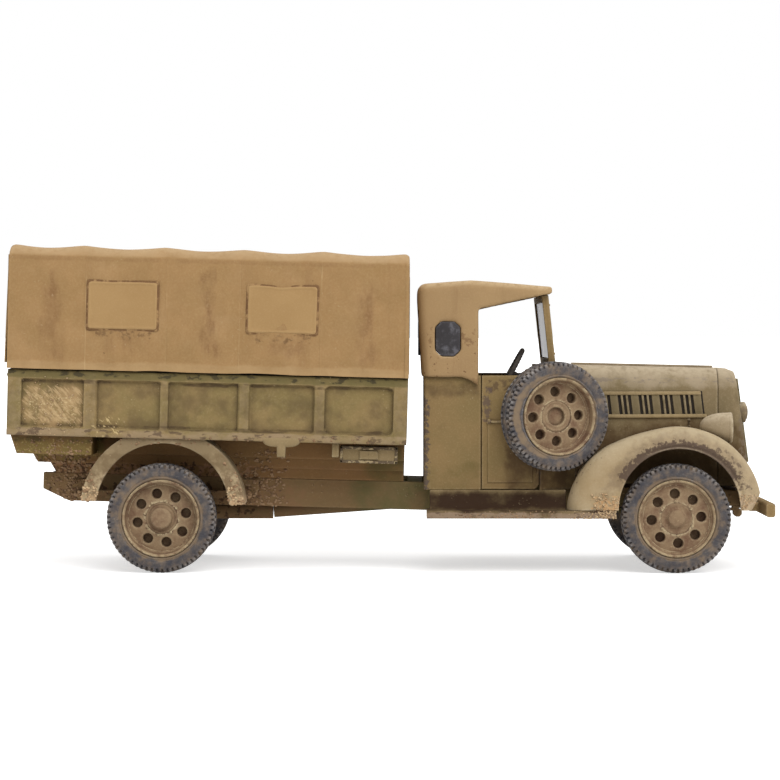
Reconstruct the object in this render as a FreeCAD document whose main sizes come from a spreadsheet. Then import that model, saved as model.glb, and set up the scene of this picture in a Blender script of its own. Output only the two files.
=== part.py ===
"""Military cargo truck of the 1930s as a 1:56 scale model, in millimetres.

+X points forward, +Y to the truck's left, +Z up.  The origin is on the ground
under the middle of the bounding box.  The driver's side is the right (-Y).
Everything but the four road wheels is fixed, as on the cast model.
"""
import FreeCAD, Part

import math
import os

import Sketcher

# Driving dimensions: alias, value in mm (or degrees, or a count), what it is.
DIMENSIONS = (
    # wheels and axles
    ("tyre_radius", 8.3, "rolling radius"),
    ("tyre_width", 4.2, "tyre section width"),
    ("tyre_shoulder", 0.5, "bevel of the tyre's shoulders"),
    ("bead_radius", 5.9, "tyre bore on the rim"),
    ("bead_fit", 0.02, "radial clearance of the tyre on the rim"),
    ("rim_wall", 0.5, "thickness of the rim"),
    ("back_inset", 0.3, "how far the wheel's back lies inside the tyre's side"),
    ("front_disc_depth", 0.9, "front disc's face inside the tyre's side"),
    ("rear_disc_depth", 1.7, "rear disc's face inside the tyre's side"),
    ("disc_wall", 0.7, "wall over the blind end of the hub bore"),
    ("cap_radius", 1.4, "hub cap"),
    ("cap_height", 0.7, "front hub cap over the disc"),
    ("rear_cap_height", 1.4, "rear hub cap over the disc"),
    ("hole_radius", 0.73, "hand holes in the disc"),
    ("hole_pitch_radius", 3.75, "circle of the hand holes"),
    ("hole_count", 8, "hand holes in a disc"),
    ("hole_depth", 1.1, "hand holes"),
    ("hole_sides", 10, "sides of a hand hole, a count"),
    ("pin_radius", 1.0, "stub axle"),
    ("pin_fit", 0.05, "radial running clearance on the stub axle"),
    ("end_float", 0.2, "axial clearance of a wheel on its stub axle"),
    ("wheel_track", 29.8, "between the middles of the left and right tyres"),
    ("front_axle_x", 43.3, "front axle"),
    ("wheelbase", 78.0, "front axle to rear axle"),
    # axles, springs and drive line
    ("beam_drop", 1.3, "front beam's middle below the wheel centre"),
    ("beam_size", 1.6, "square section of the front beam"),
    ("kingpin_radius", 1.1, "kingpin boss"),
    ("kingpin_height", 3.6, "kingpin boss"),
    ("kingpin_inset", 3.7, "kingpin from the tyre's middle"),
    ("collar_radius", 1.6, "shoulder behind a wheel"),
    ("tie_rod_size", 0.8, "square section of the steering tie rod"),
    ("tie_rod_back", 2.2, "tie rod behind the kingpins"),
    ("axle_radius", 1.5, "rear axle tube"),
    ("casing_radius", 3.2, "differential casing"),
    ("casing_width", 3.6, "differential casing across the truck"),
    ("torque_radius", 1.2, "torque tube"),
    ("torque_front_x", -18.6, "front end of the torque tube"),
    ("shaft_radius", 1.0, "drive shaft"),
    ("shaft_gap", 0.15, "gap at either end of the drive shaft"),
    ("leaf_thickness", 0.4, "one spring leaf"),
    ("leaf_width", 1.6, "spring leaves across the truck"),
    ("front_leaf_count", 4, "leaves in a front spring"),
    ("rear_leaf_count", 6, "leaves in a rear spring"),
    ("front_spring_half", 10.2, "half length of a front spring"),
    ("rear_spring_half", 12.8, "half length of a rear spring"),
    ("spring_eye_radius", 0.7, "eye at each end of a spring"),
    ("hanger_width", 3.2, "spring hanger along the frame"),
    ("bracket_width", 1.6, "front spring's bracket along the frame"),
    ("hanger_wall", 0.6, "spring hanger"),
    # frame, pitched nose down about the point (0, frame_top)
    ("frame_pitch", 1.5, "degrees, nose down"),
    ("frame_top", 13.5, "top of the rails at X 0"),
    ("rail_middle", 8.0, "rail from the middle"),
    ("rail_width", 1.6, "rail across the truck"),
    ("rail_height", 4.3, "rail behind the cab"),
    ("rail_front_height", 2.4, "rail over the front axle"),
    ("rail_rear_height", 2.5, "tapered rear end of a rail"),
    ("rail_rear_x", -53.6, "rear end of the rails"),
    ("rail_front_x", 55.4, "front end of the rails"),
    ("rail_taper_x", 27.0, "where the rails grow shallow"),
    ("rail_taper", 4.0, "length of that taper, and of the one at the rear"),
    ("rail_web", 0.6, "web of a channel rail"),
    ("rail_flange", 0.5, "flanges of a channel rail"),
    ("rear_cross_x", -52.5, "rearmost cross member"),
    ("axle_cross_x", -44.0, "cross member behind the axle"),
    ("centre_cross_x", -22.0, "cross member over the torque tube"),
    ("cab_cross_x", 2.6, "cross member behind the gearbox"),
    ("front_cross_inset", 3.4, "cross member under the radiator, behind the rails' ends"),
    ("cross_depth", 2.0, "height of a cross member"),
    ("cross_width", 2.4, "cross member along the frame"),
    ("joint_gap", 0.05, "glue line between parts that are set in place"),
    ("engine_half_width", 5.4, "engine block"),
    ("engine_rear_x", 28.6, "engine block"),
    ("engine_gap", 2.0, "engine block behind the hood's front"),
    ("engine_bottom", 10.4, "engine block"),
    ("engine_top", 26.0, "engine block"),
    ("mount_height", 1.6, "engine's cross mount"),
    ("sump_front_x", 40.0, "front of the engine's sump"),
    ("sump_rise", 2.2, "engine's underside in front of the sump, over the sump's"),
    ("gearbox_half_width", 3.4, "gearbox"),
    ("gearbox_rear_x", 6.4, "gearbox"),
    ("gearbox_bottom", 7.9, "gearbox"),
    ("gearbox_top", 12.2, "gearbox"),
    # bumper
    ("bumper_rear_x", 56.8, "back of the bumper bar"),
    ("bumper_thickness", 1.4, "bumper bar"),
    ("bumper_bottom", 8.5, "bumper bar"),
    ("bumper_height", 2.15, "bumper bar"),
    ("bumper_half_width", 16.5, "bumper bar"),
    ("bumper_round", 0.45, "rounded edges of the bumper bar"),
    ("iron_thickness", 0.9, "bumper irons"),
    ("iron_inset", 0.4, "bumper irons inside the bar's edges"),
    # cab
    ("cab_half_width", 14.0, "outside of the doors"),
    ("panel_wall", 0.9, "cab panels and doors"),
    ("shut_line", 0.12, "gap round a door"),
    ("cab_rear_x", 5.1, "back of the cab"),
    ("door_rear_x", 13.9, "rear edge of the doors"),
    ("door_front_x", 22.6, "front edge of the doors"),
    ("cowl_front_x", 28.3, "front of the cowl, where the hood starts"),
    ("sill_bottom", 12.5, "lower edge of the cab"),
    ("floor_top", 14.4, "cab floor"),
    ("waist_height", 29.9, "top of the doors and the rear quarters"),
    ("cowl_top", 31.4, "top of the cowl and the hood's rear end"),
    ("door_round", 1.0, "rounded lower corner of a door"),
    ("swage_rise", 0.25, "how far the doors' lower front panel stands out"),
    ("swage_top", 22.8, "top of that panel"),
    ("seat_half_width", 12.2, "seat"),
    ("seat_front_x", 15.6, "seat"),
    ("seat_top", 21.0, "seat"),
    ("back_thickness", 2.2, "seat's back"),
    ("back_drop", 1.3, "top of the seat's back below the doors' top"),
    ("dash_rear_x", 21.6, "dashboard"),
    ("dash_depth", 2.1, "dashboard's lower edge below the cowl's top"),
    ("wheel_rim_radius", 3.8, "steering wheel"),
    ("wheel_rim_section", 0.7, "thickness of the steering wheel's rim"),
    ("spoke_width", 0.55, "spokes of the steering wheel"),
    ("spoke_count", 3, "spokes of the steering wheel"),
    ("steer_x", 18.6, "middle of the steering wheel"),
    ("steer_y", -6.5, "middle of the steering wheel"),
    ("steer_z", 30.3, "middle of the steering wheel"),
    ("steer_tilt", 28.0, "degrees, steering wheel from upright"),
    ("column_radius", 0.45, "steering column"),
    ("column_gap", 0.25, "steering column's end before the firewall"),
    # hood and radiator
    ("hood_rear_half", 10.3, "half width where the hood meets the cowl"),
    ("hood_front_half", 7.5, "half width where the hood meets the radiator"),
    ("hood_front_x", 50.5, "front of the hood"),
    ("hood_fall", 0.5, "how much lower the hood is at its front"),
    ("hood_bottom", 13.2, "lower edge of the hood's sides"),
    ("hood_shoulder", 3.0, "rounding of the hood's shoulders"),
    ("hood_wall", 0.8, "hood panels"),
    ("hinge_width", 0.7, "centre hinge of the hood"),
    ("hinge_height", 0.35, "centre hinge over the hood"),
    ("louvre_rear_gap", 1.3, "louvre band from the cowl"),
    ("louvre_front_gap", 2.0, "louvre band from the radiator"),
    ("louvre_bottom", 23.3, "lower edge of the louvre band"),
    ("louvre_top", 27.4, "upper edge of the louvre band"),
    ("louvre_trim", 0.6, "trim strips above and below the louvres"),
    ("louvre_rise", 0.45, "trim strips over the hood's side"),
    ("louvre_sink", 0.2, "how far the louvre plate and its slots lie back"),
    ("slat_count", 3, "louvres in a group"),
    ("louvre_group", 5, "groups of louvres"),
    ("louvre_pitch", 3.27, "from one group of louvres to the next"),
    ("slat_pitch", 0.78, "from one louvre to the next"),
    ("slat_width", 0.42, "one louvre"),
    ("shell_depth", 1.9, "radiator shell along the truck, at its top"),
    ("shell_lean_angle", 7.6, "degrees, radiator shell's front from upright"),
    ("shell_bottom", 12.7, "lower edge of the radiator shell"),
    ("shell_nose", 0.6, "bevelled front edges of the radiator shell"),
    ("grille_half_width", 5.6, "V-shaped grille"),
    ("grille_depth", 1.9, "ridge of the grille in front of the shell"),
    ("grille_bottom", 15.9, "foot of the grille"),
    ("grille_height", 13.2, "grille along its lean"),
    ("bar_pitch", 0.8, "from one grille bar to the next"),
    ("bar_width", 0.38, "one grille bar"),
    ("bar_depth", 0.45, "grille bars over the core"),
    ("badge_radius", 1.65, "plain round boss on the grille"),
    ("badge_thickness", 1.5, "plain boss"),
    ("badge_z", 23.9, "plain boss"),
    ("badge_proud", 0.9, "how far the plain boss stands out from the grille's ridge"),
    # front fenders and lamps
    ("fender_outer", 18.0, "outer side of a front fender from the middle"),
    ("fender_inner", 7.55, "inner limit of a front fender"),
    ("fender_wall", 0.9, "fender shell"),
    ("fender_crown", 1.1, "bevel of the fender's outer shoulder"),
    ("fender_foot_x", 26.7, "rear foot of a fender on the running board"),
    ("fender_top_x", 42.8, "highest point of a fender"),
    ("fender_top", 22.1, "highest point of a fender"),
    ("fender_brow_x", 34.2, "joint of the fender's rear sweep and its crown"),
    ("fender_brow", 19.7, "height of that joint"),
    ("fender_nose_x", 56.0, "foremost point of a fender"),
    ("fender_nose", 12.2, "height of the foremost point"),
    ("fender_tip_x", 54.6, "lower tip of a fender"),
    ("sweep_radius", 11.7, "fender's rear sweep, from its foot to the brow"),
    ("crown_radius", 32.0, "fender's crown, from the brow to its top"),
    ("nose_radius", 12.55, "fender's front, from its top to the nose"),
    ("arch_radius", 9.2, "front wheel arch"),
    ("arch_shift", 0.3, "arch centre ahead of the axle"),
    ("arch_lift", 1.4, "arch centre above the axle"),
    ("lamp_y", 12.0, "headlight from the middle"),
    ("lamp_z", 21.9, "headlight"),
    ("lamp_radius", 2.35, "headlight"),
    ("lamp_rear_x", 47.4, "tail of the headlight"),
    ("lamp_front_x", 52.1, "rim of the headlight"),
    ("lens_thickness", 0.5, "headlight lens"),
    ("lamp_tail_radius", 1.0, "flat tail of the headlight"),
    ("lamp_barrel", 2.1, "straight front part of the headlight"),
    ("lens_rim", 0.4, "headlight's rim round the lens"),
    # running boards
    ("board_rear_x", 5.5, "running board"),
    ("board_front_x", 34.0, "running board"),
    ("board_bottom", 8.4, "running board"),
    ("board_top", 9.6, "running board"),
    ("board_outer", 18.2, "outer edge of a running board"),
    ("board_inner", 12.6, "inner edge of a running board"),
    ("valance_foot", 15.8, "foot of the valance under the cab"),
    ("valance_curve", 3.8, "hollow curve of the valance"),
    # canvas roof of the cab and windscreen
    ("roof_half_width", 14.85, "outside of the canvas roof"),
    ("roof_wall", 0.8, "canvas roof"),
    ("roof_lap", 0.22, "roof's foot below the doors' top"),
    ("roof_rear_x", 4.1, "back of the roof"),
    ("roof_front_x", 24.6, "front of the roof"),
    ("roof_peak_x", 12.3, "highest point of the roof"),
    ("roof_rise", 14.5, "highest point of the roof over the doors' top"),
    ("roof_front_drop", 1.0, "roof at its front below its highest point"),
    ("roof_rear_drop", 0.5, "roof at its back below its highest point"),
    ("roof_front_edge", 1.05, "height of the roof's front edge"),
    ("roof_brow_drop", 4.4, "lower edge of the roof over the door below its top"),
    ("roof_quarter_x", 13.4, "front edge of the canvas behind the door"),
    ("roof_tip_drop", 1.7, "lowest tip of that canvas below the doors' top"),
    ("roof_tip_length", 3.8, "length of that tip's hollow curve"),
    ("roof_tip_curve", 5.0, "that curve"),
    ("roof_round", 1.4, "rounded edges of the roof"),
    ("pane_rear_x", 6.85, "side pane in the canvas"),
    ("pane_width", 3.8, "side pane"),
    ("pane_rise", 2.95, "panes in the canvas over the doors' top"),
    ("pane_height", 5.3, "panes in the canvas"),
    ("pane_corner", 0.9, "cut corners of the panes"),
    ("pane_fit", 0.03, "gap round a pane"),
    ("pane_wall", 0.5, "panes in the canvas"),
    ("rear_pane_half", 4.5, "pane in the back, half its width"),
    ("screen_foot_x", 25.2, "foot of the windscreen"),
    ("screen_rake_angle", 6.1, "degrees, windscreen from upright"),
    ("screen_gap", 0.6, "windscreen frame below the roof's canvas"),
    ("screen_half_width", 13.0, "windscreen frame"),
    ("screen_wall", 1.0, "windscreen frame, front to back"),
    ("screen_border", 1.0, "windscreen frame round the glass"),
    ("glass_wall", 0.4, "windscreen glass"),
    # bed and cover, in the pitched frame
    ("bed_rear_x", -57.9, "back of the bed"),
    ("bed_front_x", 2.3, "front of the bed"),
    ("bed_half_width", 19.0, "outside of the bed's sides"),
    ("bed_bottom", 6.05, "underside of the bed over the rails' top"),
    ("bed_top", 16.0, "top of the bed's sides over the rails' top"),
    ("bed_wall", 1.2, "bed's sides, ends and floor"),
    ("panel_count", 5, "sunk panels in a side"),
    ("panel_recess", 0.5, "depth of the sunk panels"),
    ("panel_top_rail", 1.6, "above the sunk panels"),
    ("panel_low_rail", 1.45, "below the sunk panels"),
    ("panel_post", 1.65, "between the sunk panels"),
    ("panel_rear_post", 2.35, "behind the sunk panels"),
    ("panel_front_post", 2.1, "in front of the sunk panels"),
    ("panel_corner", 0.6, "rounded corners of the sunk panels"),
    ("cover_gap", 0.1, "between the bed's sides and the cover"),
    ("cover_proud", 0.3, "how far the cover hangs out past the bed"),
    ("cover_rear_x", -58.0, "back of the cover"),
    ("cover_front_x", 2.4, "front of the cover"),
    ("cover_top", 34.8, "top of the cover at a hoop, over the rails' top"),
    ("cover_shoulder", 2.2, "rounding of the cover's shoulders"),
    ("cover_wall", 1.1, "cover"),
    ("cover_sag", 0.35, "how far the cover sags between its hoops"),
    ("hoop_count", 4, "hoops under the cover, between its ends"),
    ("hoop_first_x", -46.8, "rearmost of those hoops"),
    ("hoop_pitch", 12.0, "from one hoop to the next"),
    ("flap_width", 10.35, "window flap in the cover"),
    ("flap_height", 7.1, "window flap"),
    ("flap_bottom", 22.35, "window flap over the rails' top"),
    ("flap_wall", 0.35, "window flap"),
    ("flap_corner", 0.9, "rounded corners of a window flap"),
    ("curtain_wall", 0.4, "rear curtain"),
    ("curtain_flare", 0.25, "how far the curtain's foot stands out"),
    ("curtain_bottom", 17.0, "foot of the curtain over the rails' top"),
    ("curtain_top", 33.2, "top of the curtain over the rails' top"),
    ("curtain_half_width", 16.8, "rear curtain"),
    ("curtain_drape", 6.0, "upper part of the curtain, which lies on the cover"),
    ("bearer_inner", 5.6, "inner side of the bearers from the middle"),
    ("bearer_front_x", 2.0, "front end of the bearers"),
    ("bearer_slant", 1.0, "slant of a bearer's rear end"),
    ("low_bearer_top", 1.6, "lowest bearer over the rails' top"),
    ("low_bearer_rear_x", -52.6, "lowest bearer"),
    ("low_bearer_outer", 8.8, "lowest bearer"),
    ("mid_bearer_top", 3.2, "middle bearer over the rails' top"),
    ("mid_bearer_rear_x", -55.4, "middle bearer"),
    ("mid_bearer_outer", 9.6, "middle bearer"),
    ("high_bearer_outer", 10.4, "highest bearer"),
    ("sill_rear_x", -57.6, "rear sill across the bearers, under the bed's floor"),
    ("sill_gap", 1.5, "rear sill to the rear fender"),
    ("sill_outer", 17.0, "outer end of the rear sill from the middle"),
    ("box_rear_x", -7.7, "toolbox under the bed"),
    ("box_front_x", 1.0, "toolbox"),
    ("box_bottom", 3.1, "toolbox over the rails' top"),
    ("box_outer", 17.0, "toolbox's door from the middle"),
    ("box_depth", 4.0, "toolbox across the truck"),
    ("box_rise", 0.35, "raised middle of the toolbox's door"),
    ("box_middle", 2.8, "raised middle of the toolbox's door, its length"),
    ("box_border", 0.6, "plain border above and below that middle"),
    ("lug_rear_x", -19.2, "lug under the bed's side"),
    ("lug_length", 5.2, "lug along the bed"),
    ("lug_height", 1.35, "lug"),
    ("lug_stem", 1.2, "stem under the lug"),
    ("lug_width", 1.6, "lug across the truck"),
    # rear fenders, in the pitched frame
    ("rear_fender_shift", 0.5, "centre of a rear fender ahead of the rear axle"),
    ("rear_fender_z", -4.75, "centre of a rear fender over the rails' top"),
    ("rear_fender_outer", 12.4, "radius of a rear fender"),
    ("rear_fender_lip", 2.3, "height of its side lip"),
    ("rear_fender_wall", 0.9, "rear fender shell"),
    ("rear_fender_foot", -3.6, "ends of a rear fender over the rails' top"),
    ("rear_fender_in_y", 11.4, "inner edge from the middle"),
    ("rear_fender_out_y", 18.3, "outer edge from the middle"),
    # spare wheel
    ("spare_x", 24.9, "middle of the spare wheel"),
    ("spare_y", 15.55, "middle of the spare wheel, to the right"),
    ("spare_z", 23.75, "middle of the spare wheel"),
    ("spare_yaw", 20.0, "degrees, its front edge turned in"),
    ("peg_radius", 1.35, "peg that carries the spare wheel"),
    ("peg_sink", 0.5, "end of the peg inside the spare wheel's disc"),
    ("flange_radius", 1.8, "flange of the peg behind the spare wheel"),
    ("peg_reach", 8.0, "peg from the spare wheel's middle into the cowl's line"),
)

EYE_SIDES = 8
CASING_SIDES = 12
NEARLY = 1e-3
BODY_WORKPLANES = {"XY": "XY_Plane", "XZ": "XZ_Plane", "YZ": "YZ_Plane"}

doc = FreeCAD.newDocument("CargoTruck")
sheet = doc.addObject("Spreadsheet::Sheet", "Dims")


class Size:
    """A size that knows its value and its expression on the sheet."""

    def __init__(self, value, text):
        self.value = float(value)
        self.text = text

    def _join(self, other, sign, swap=False):
        other = as_size(other)
        left, right = (other, self) if swap else (self, other)
        results = {
            "+": lambda: left.value + right.value,
            "-": lambda: left.value - right.value,
            "*": lambda: left.value * right.value,
            "/": lambda: left.value / right.value,
        }
        return Size(results[sign](), f"({left.text} {sign} {right.text})")

    def __add__(self, other):
        return self._join(other, "+")

    def __radd__(self, other):
        return self._join(other, "+", swap=True)

    def __sub__(self, other):
        return self._join(other, "-")

    def __rsub__(self, other):
        return self._join(other, "-", swap=True)

    def __mul__(self, other):
        return self._join(other, "*")

    def __rmul__(self, other):
        return self._join(other, "*", swap=True)

    def __truediv__(self, other):
        return self._join(other, "/")

    def __neg__(self):
        return self._join(-1, "*")

    def root(self):
        """Square root."""
        return Size(math.sqrt(self.value), f"sqrt({self.text})")

    def cosine(self):
        """Cosine of a size in degrees."""
        return Size(math.cos(math.radians(self.value)), f"cos({self.text} * 1 deg)")

    def tangent(self):
        """Tangent of a size in degrees."""
        return Size(math.tan(math.radians(self.value)), f"tan({self.text} * 1 deg)")


def as_size(number):
    """Turn a plain number into a Size."""
    if isinstance(number, Size):
        return number
    return Size(number, f"({number:.9g})")


class Dims:
    """The sheet's cells, by alias."""


def fill_sheet():
    """Write the dimension table to the sheet and return its cells as sizes."""
    for row, (alias, value, note) in enumerate(DIMENSIONS, start=1):
        sheet.set(f"A{row}", alias)
        sheet.set(f"B{row}", f"{value:g}")
        sheet.set(f"C{row}", note)
        sheet.setAlias(f"B{row}", alias)
    doc.recompute()
    cells = Dims()
    for alias, _, _ in DIMENSIONS:
        setattr(cells, alias, Size(sheet.get(alias), f"Dims.{alias}"))
    return cells


D = fill_sheet()


def count(size):
    """A count from the sheet as a whole number."""
    return max(1, round(size.value))


def vector(x, y, z):
    """A FreeCAD vector from sizes or numbers."""
    return FreeCAD.Vector(as_size(x).value, as_size(y).value, as_size(z).value)


def tie(thing, path, size):
    """Bind one property of an object to the sheet."""
    thing.setExpression(path, as_size(size).text)


# ---------------------------------------------------------------- placements
def turned_about_y(x, y, z, degrees):
    """A placement at a point, turned about the Y axis."""
    rotation = FreeCAD.Rotation(FreeCAD.Vector(0, 1, 0), as_size(degrees).value)
    return FreeCAD.Placement(vector(x, y, z), rotation)


def pitched():
    """Placement of the frame and the bed, which lie nose down."""
    return turned_about_y(0, 0, D.frame_top, D.frame_pitch)


def rail_top_at(x):
    """World height of the rails' top at a world X."""
    return D.frame_top - x * D.frame_pitch.tangent()


# ------------------------------------------------------------ sketch helpers
def new_body(name, placement=None):
    """An empty body with a name and a place."""
    body = doc.addObject("PartDesign::Body", name)
    body.Label = name
    if placement is not None:
        body.Placement = placement
    return body


def new_sketch(body, plane, offset=0):
    """A sketch on one of the body's own planes, moved along its normal."""
    sketch = body.newObject("Sketcher::SketchObject", f"{body.Name}_sketch")
    role = BODY_WORKPLANES[plane]
    origin_plane = next(f for f in body.Origin.OriginFeatures if f.Role == role)
    sketch.AttachmentSupport = [(origin_plane, "")]
    sketch.MapMode = "FlatFace"
    tie(sketch, "AttachmentOffset.Base.z", offset)
    return sketch


def pin_down(sketch, edge, corner, x, y):
    """Bind one end or centre of a sketch edge to X and Y sizes."""
    for kind, size in (("DistanceX", x), ("DistanceY", y)):
        size = as_size(size)
        rule = Sketcher.Constraint(kind, -1, 1, edge, corner, size.value)
        index = sketch.addConstraint(rule)
        sketch.setExpression(f"Constraints[{index}]", size.text)


def arc_between(start, end, radius):
    """Arc from start to end; it bulges right of the way if radius is positive."""
    chord = end - start
    height = math.sqrt(max(radius ** 2 - (chord.Length / 2) ** 2, 0))
    left = FreeCAD.Vector(-chord.y, chord.x, 0).normalize()
    centre = (start + end) / 2 + left * math.copysign(height, radius)
    ends = (start, end) if radius > 0 else (end, start)
    angles = [math.atan2(p.y - centre.y, p.x - centre.x) for p in ends]
    circle = Part.Circle(centre, FreeCAD.Vector(0, 0, 1), abs(radius))
    return Part.ArcOfCircle(circle, angles[0], angles[1])


def draw_outline(sketch, corners):
    """Closed outline through corners (x, y) or (x, y, radius of the arc onward)."""
    spots = [vector(c[0], c[1], 0) for c in corners]
    starts = []
    ends = []
    for index, corner in enumerate(corners):
        begin = spots[index]
        finish = spots[(index + 1) % len(corners)]
        radius = as_size(corner[2]) if len(corner) > 2 else None
        if radius is None:
            edge = sketch.addGeometry(Part.LineSegment(begin, finish), False)
        else:
            edge = sketch.addGeometry(arc_between(begin, finish, radius.value), False)
        forward = radius is None or radius.value > 0
        starts.append((edge, 1 if forward else 2))
        ends.append((edge, 2 if forward else 1))
    for index, corner in enumerate(corners):
        edge, side = starts[index]
        pin_down(sketch, edge, side, corner[0], corner[1])
        before = ends[index - 1]
        sketch.addConstraint(Sketcher.Constraint("Coincident", before[0], before[1], edge, side))
        if len(corner) > 2:
            radius = as_size(corner[2])
            rule = Sketcher.Constraint("Radius", edge, abs(radius.value))
            spot = sketch.addConstraint(rule)
            sketch.setExpression(f"Constraints[{spot}]", f"abs({radius.text})")


def add_profile(body, kind, plane, offset, corners):
    """A feature of some kind on a new outline."""
    sketch = new_sketch(body, plane, offset)
    draw_outline(sketch, corners)
    feature = body.newObject(f"PartDesign::{kind}", f"{body.Name}_{kind.lower()}")
    feature.Profile = sketch
    return feature


def pad(body, plane, corners, length, offset=0, both=False, reverse=False):
    """Extrude an outline, to one side or to both."""
    feature = add_profile(body, "Pad", plane, offset, corners)
    if both:
        feature.SideType = "Symmetric"
    feature.Reversed = reverse
    tie(feature, "Length", length)
    return feature


def pocket(body, plane, corners, depth, offset=0, both=False, reverse=False):
    """Cut an outline into the body."""
    feature = add_profile(body, "Pocket", plane, offset, corners)
    if both:
        feature.SideType = "Symmetric"
    feature.Reversed = reverse
    tie(feature, "Length", depth)
    return feature


def turn(body, plane, corners, axis="V_Axis", offset=0):
    """Revolve an outline about one of its sketch's axes."""
    feature = add_profile(body, "Revolution", plane, offset, corners)
    feature.ReferenceAxis = (feature.Profile[0], [axis])
    feature.Angle = 360
    return feature


def loft(body, stations, subtract=False):
    """Ruled loft through (X offset, corners) stations across the truck."""
    sketches = []
    for offset, corners in stations:
        sketch = new_sketch(body, "YZ", offset)
        draw_outline(sketch, corners)
        sketches.append(sketch)
    kind = "SubtractiveLoft" if subtract else "AdditiveLoft"
    feature = body.newObject(f"PartDesign::{kind}", f"{body.Name}_{kind.lower()}")
    feature.Profile = sketches[0]
    feature.Sections = sketches[1:]
    feature.Ruled = True
    return feature


def ring_pattern(body, feature, number):
    """Repeat a hole round its sketch's normal."""
    pattern = body.newObject("PartDesign::PolarPattern", f"{body.Name}_ring")
    pattern.Originals = [feature]
    pattern.Axis = (feature.Profile[0], ["N_Axis"])
    pattern.Angle = 360
    tie(pattern, "Occurrences", number)
    body.Tip = pattern
    return pattern


def soften(body, feature, radius, wanted):
    """Fillet the edges of a feature that a test wants."""
    doc.recompute()
    edges = enumerate(feature.Shape.Edges, start=1)
    names = [f"Edge{number}" for number, edge in edges if wanted(edge)]
    fillet = body.newObject("PartDesign::Fillet", f"{body.Name}_fillet")
    fillet.Base = (feature, names)
    tie(fillet, "Radius", radius)
    return fillet


def bevel(body, feature, size, wanted):
    """Chamfer the edges of a feature that a test wants."""
    doc.recompute()
    edges = enumerate(feature.Shape.Edges, start=1)
    names = [f"Edge{number}" for number, edge in edges if wanted(edge)]
    chamfer = body.newObject("PartDesign::Chamfer", f"{body.Name}_bevel")
    chamfer.Base = (feature, names)
    tie(chamfer, "Size", size)
    return chamfer


def at(value, size):
    """True when a coordinate lies at a size."""
    return abs(value - as_size(size).value) < 1e-4


def along(edge, axis):
    """True when a straight edge runs along an axis (0, 1 or 2)."""
    if len(edge.Vertexes) != 2 or not isinstance(edge.Curve, Part.Line):
        return False
    way = edge.Vertexes[1].Point - edge.Vertexes[0].Point
    return abs(abs(way[axis]) - way.Length) < 1e-6


def ends_at(edge, axis, size):
    """True when all ends of an edge lie at a size along an axis."""
    return all(at(vertex.Point[axis], size) for vertex in edge.Vertexes)


def block(name, x, y, z):
    """A level box from three pairs of sizes, low and high."""
    box = doc.addObject("Part::Box", name)
    box.Label = name
    for side, base, (low, high) in zip(("Length", "Width", "Height"), "xyz", (x, y, z)):
        tie(box, side, as_size(high) - low)
        tie(box, f"Placement.Base.{base}", low)
    return box


def rod(name, radius, start, end):
    """A round rod between two points."""
    start = vector(*start)
    way = vector(*end) - start
    cylinder = doc.addObject("Part::Cylinder", name)
    cylinder.Label = name
    tie(cylinder, "Radius", radius)
    cylinder.Height = way.Length
    turned = FreeCAD.Rotation(FreeCAD.Vector(0, 0, 1), way)
    cylinder.Placement = FreeCAD.Placement(start, turned)
    return cylinder


def fuse(name, pieces):
    """Join pieces that are one piece in the real thing."""
    joined = doc.addObject("Part::MultiFuse", name)
    joined.Label = name
    joined.Shapes = pieces
    joined.Refine = True
    return joined


def cut(name, base, tool):
    """Cut one object with another."""
    result = doc.addObject("Part::Cut", name)
    result.Label = name
    result.Base = base
    result.Tool = tool
    return result


def group(name, pieces):
    """Like pieces that don't touch, as one node."""
    compound = doc.addObject("Part::Compound", name)
    compound.Label = name
    compound.Links = pieces
    return compound


def mirror(name, source):
    """The left-hand copy of a right-hand piece."""
    copy = doc.addObject("Part::Mirroring", name)
    copy.Label = name
    copy.Source = source
    copy.Normal = FreeCAD.Vector(0, 1, 0)
    return copy


NODES = {}


def keep(name, thing):
    """Register an object as the sub-part of that name."""
    thing.Label = name
    NODES[name] = thing
    return thing


def keep_pair(name, right):
    """Register a right-hand piece and its mirrored left-hand copy."""
    keep(f"{name}_right", right)
    keep(f"{name}_left", mirror(f"{name}_left", right))


def keep_set(name, right):
    """Register a right-hand piece and its left-hand copy as one node."""
    keep(name, group(name, [right, mirror(f"{name}_left", right)]))


def bar(low_x, high_x, low_z, high_z):
    """Corners of an upright rectangle, anticlockwise."""
    return [(low_x, low_z), (high_x, low_z), (high_x, high_z), (low_x, high_z)]


def cut_corners(low_x, high_x, low_z, high_z, cut_off):
    """Corners of a rectangle with its corners cut off, anticlockwise."""
    return [
        (low_x + cut_off, low_z), (high_x - cut_off, low_z), (high_x, low_z + cut_off),
        (high_x, high_z - cut_off), (high_x - cut_off, high_z), (low_x + cut_off, high_z),
        (low_x, high_z - cut_off), (low_x, low_z + cut_off),
    ]


def polygon(x, z, radius, sides):
    """Corners of a regular polygon that stands for a small round, anticlockwise."""
    corners = []
    for number in range(sides):
        angle = 2 * math.pi * (number + 0.5) / sides
        corners.append((x + radius * math.cos(angle), z + radius * math.sin(angle)))
    return corners


# --------------------------------------------------------------- road wheels
def wheel_back():
    """Back of a wheel from its middle plane."""
    return D.tyre_width / 2 - D.back_inset


def bore_end(front):
    """Blind end of a road wheel's hub bore from the wheel's middle plane."""
    return cap_face(front) - D.disc_wall


def disc_face(front):
    """Face of a wheel's disc from the wheel's middle plane."""
    return D.tyre_width / 2 - (D.front_disc_depth if front else D.rear_disc_depth)


def cap_face(front):
    """Face of a road wheel's hub cap from the wheel's middle plane."""
    return disc_face(front) + (D.cap_height if front else D.rear_cap_height)


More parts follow.
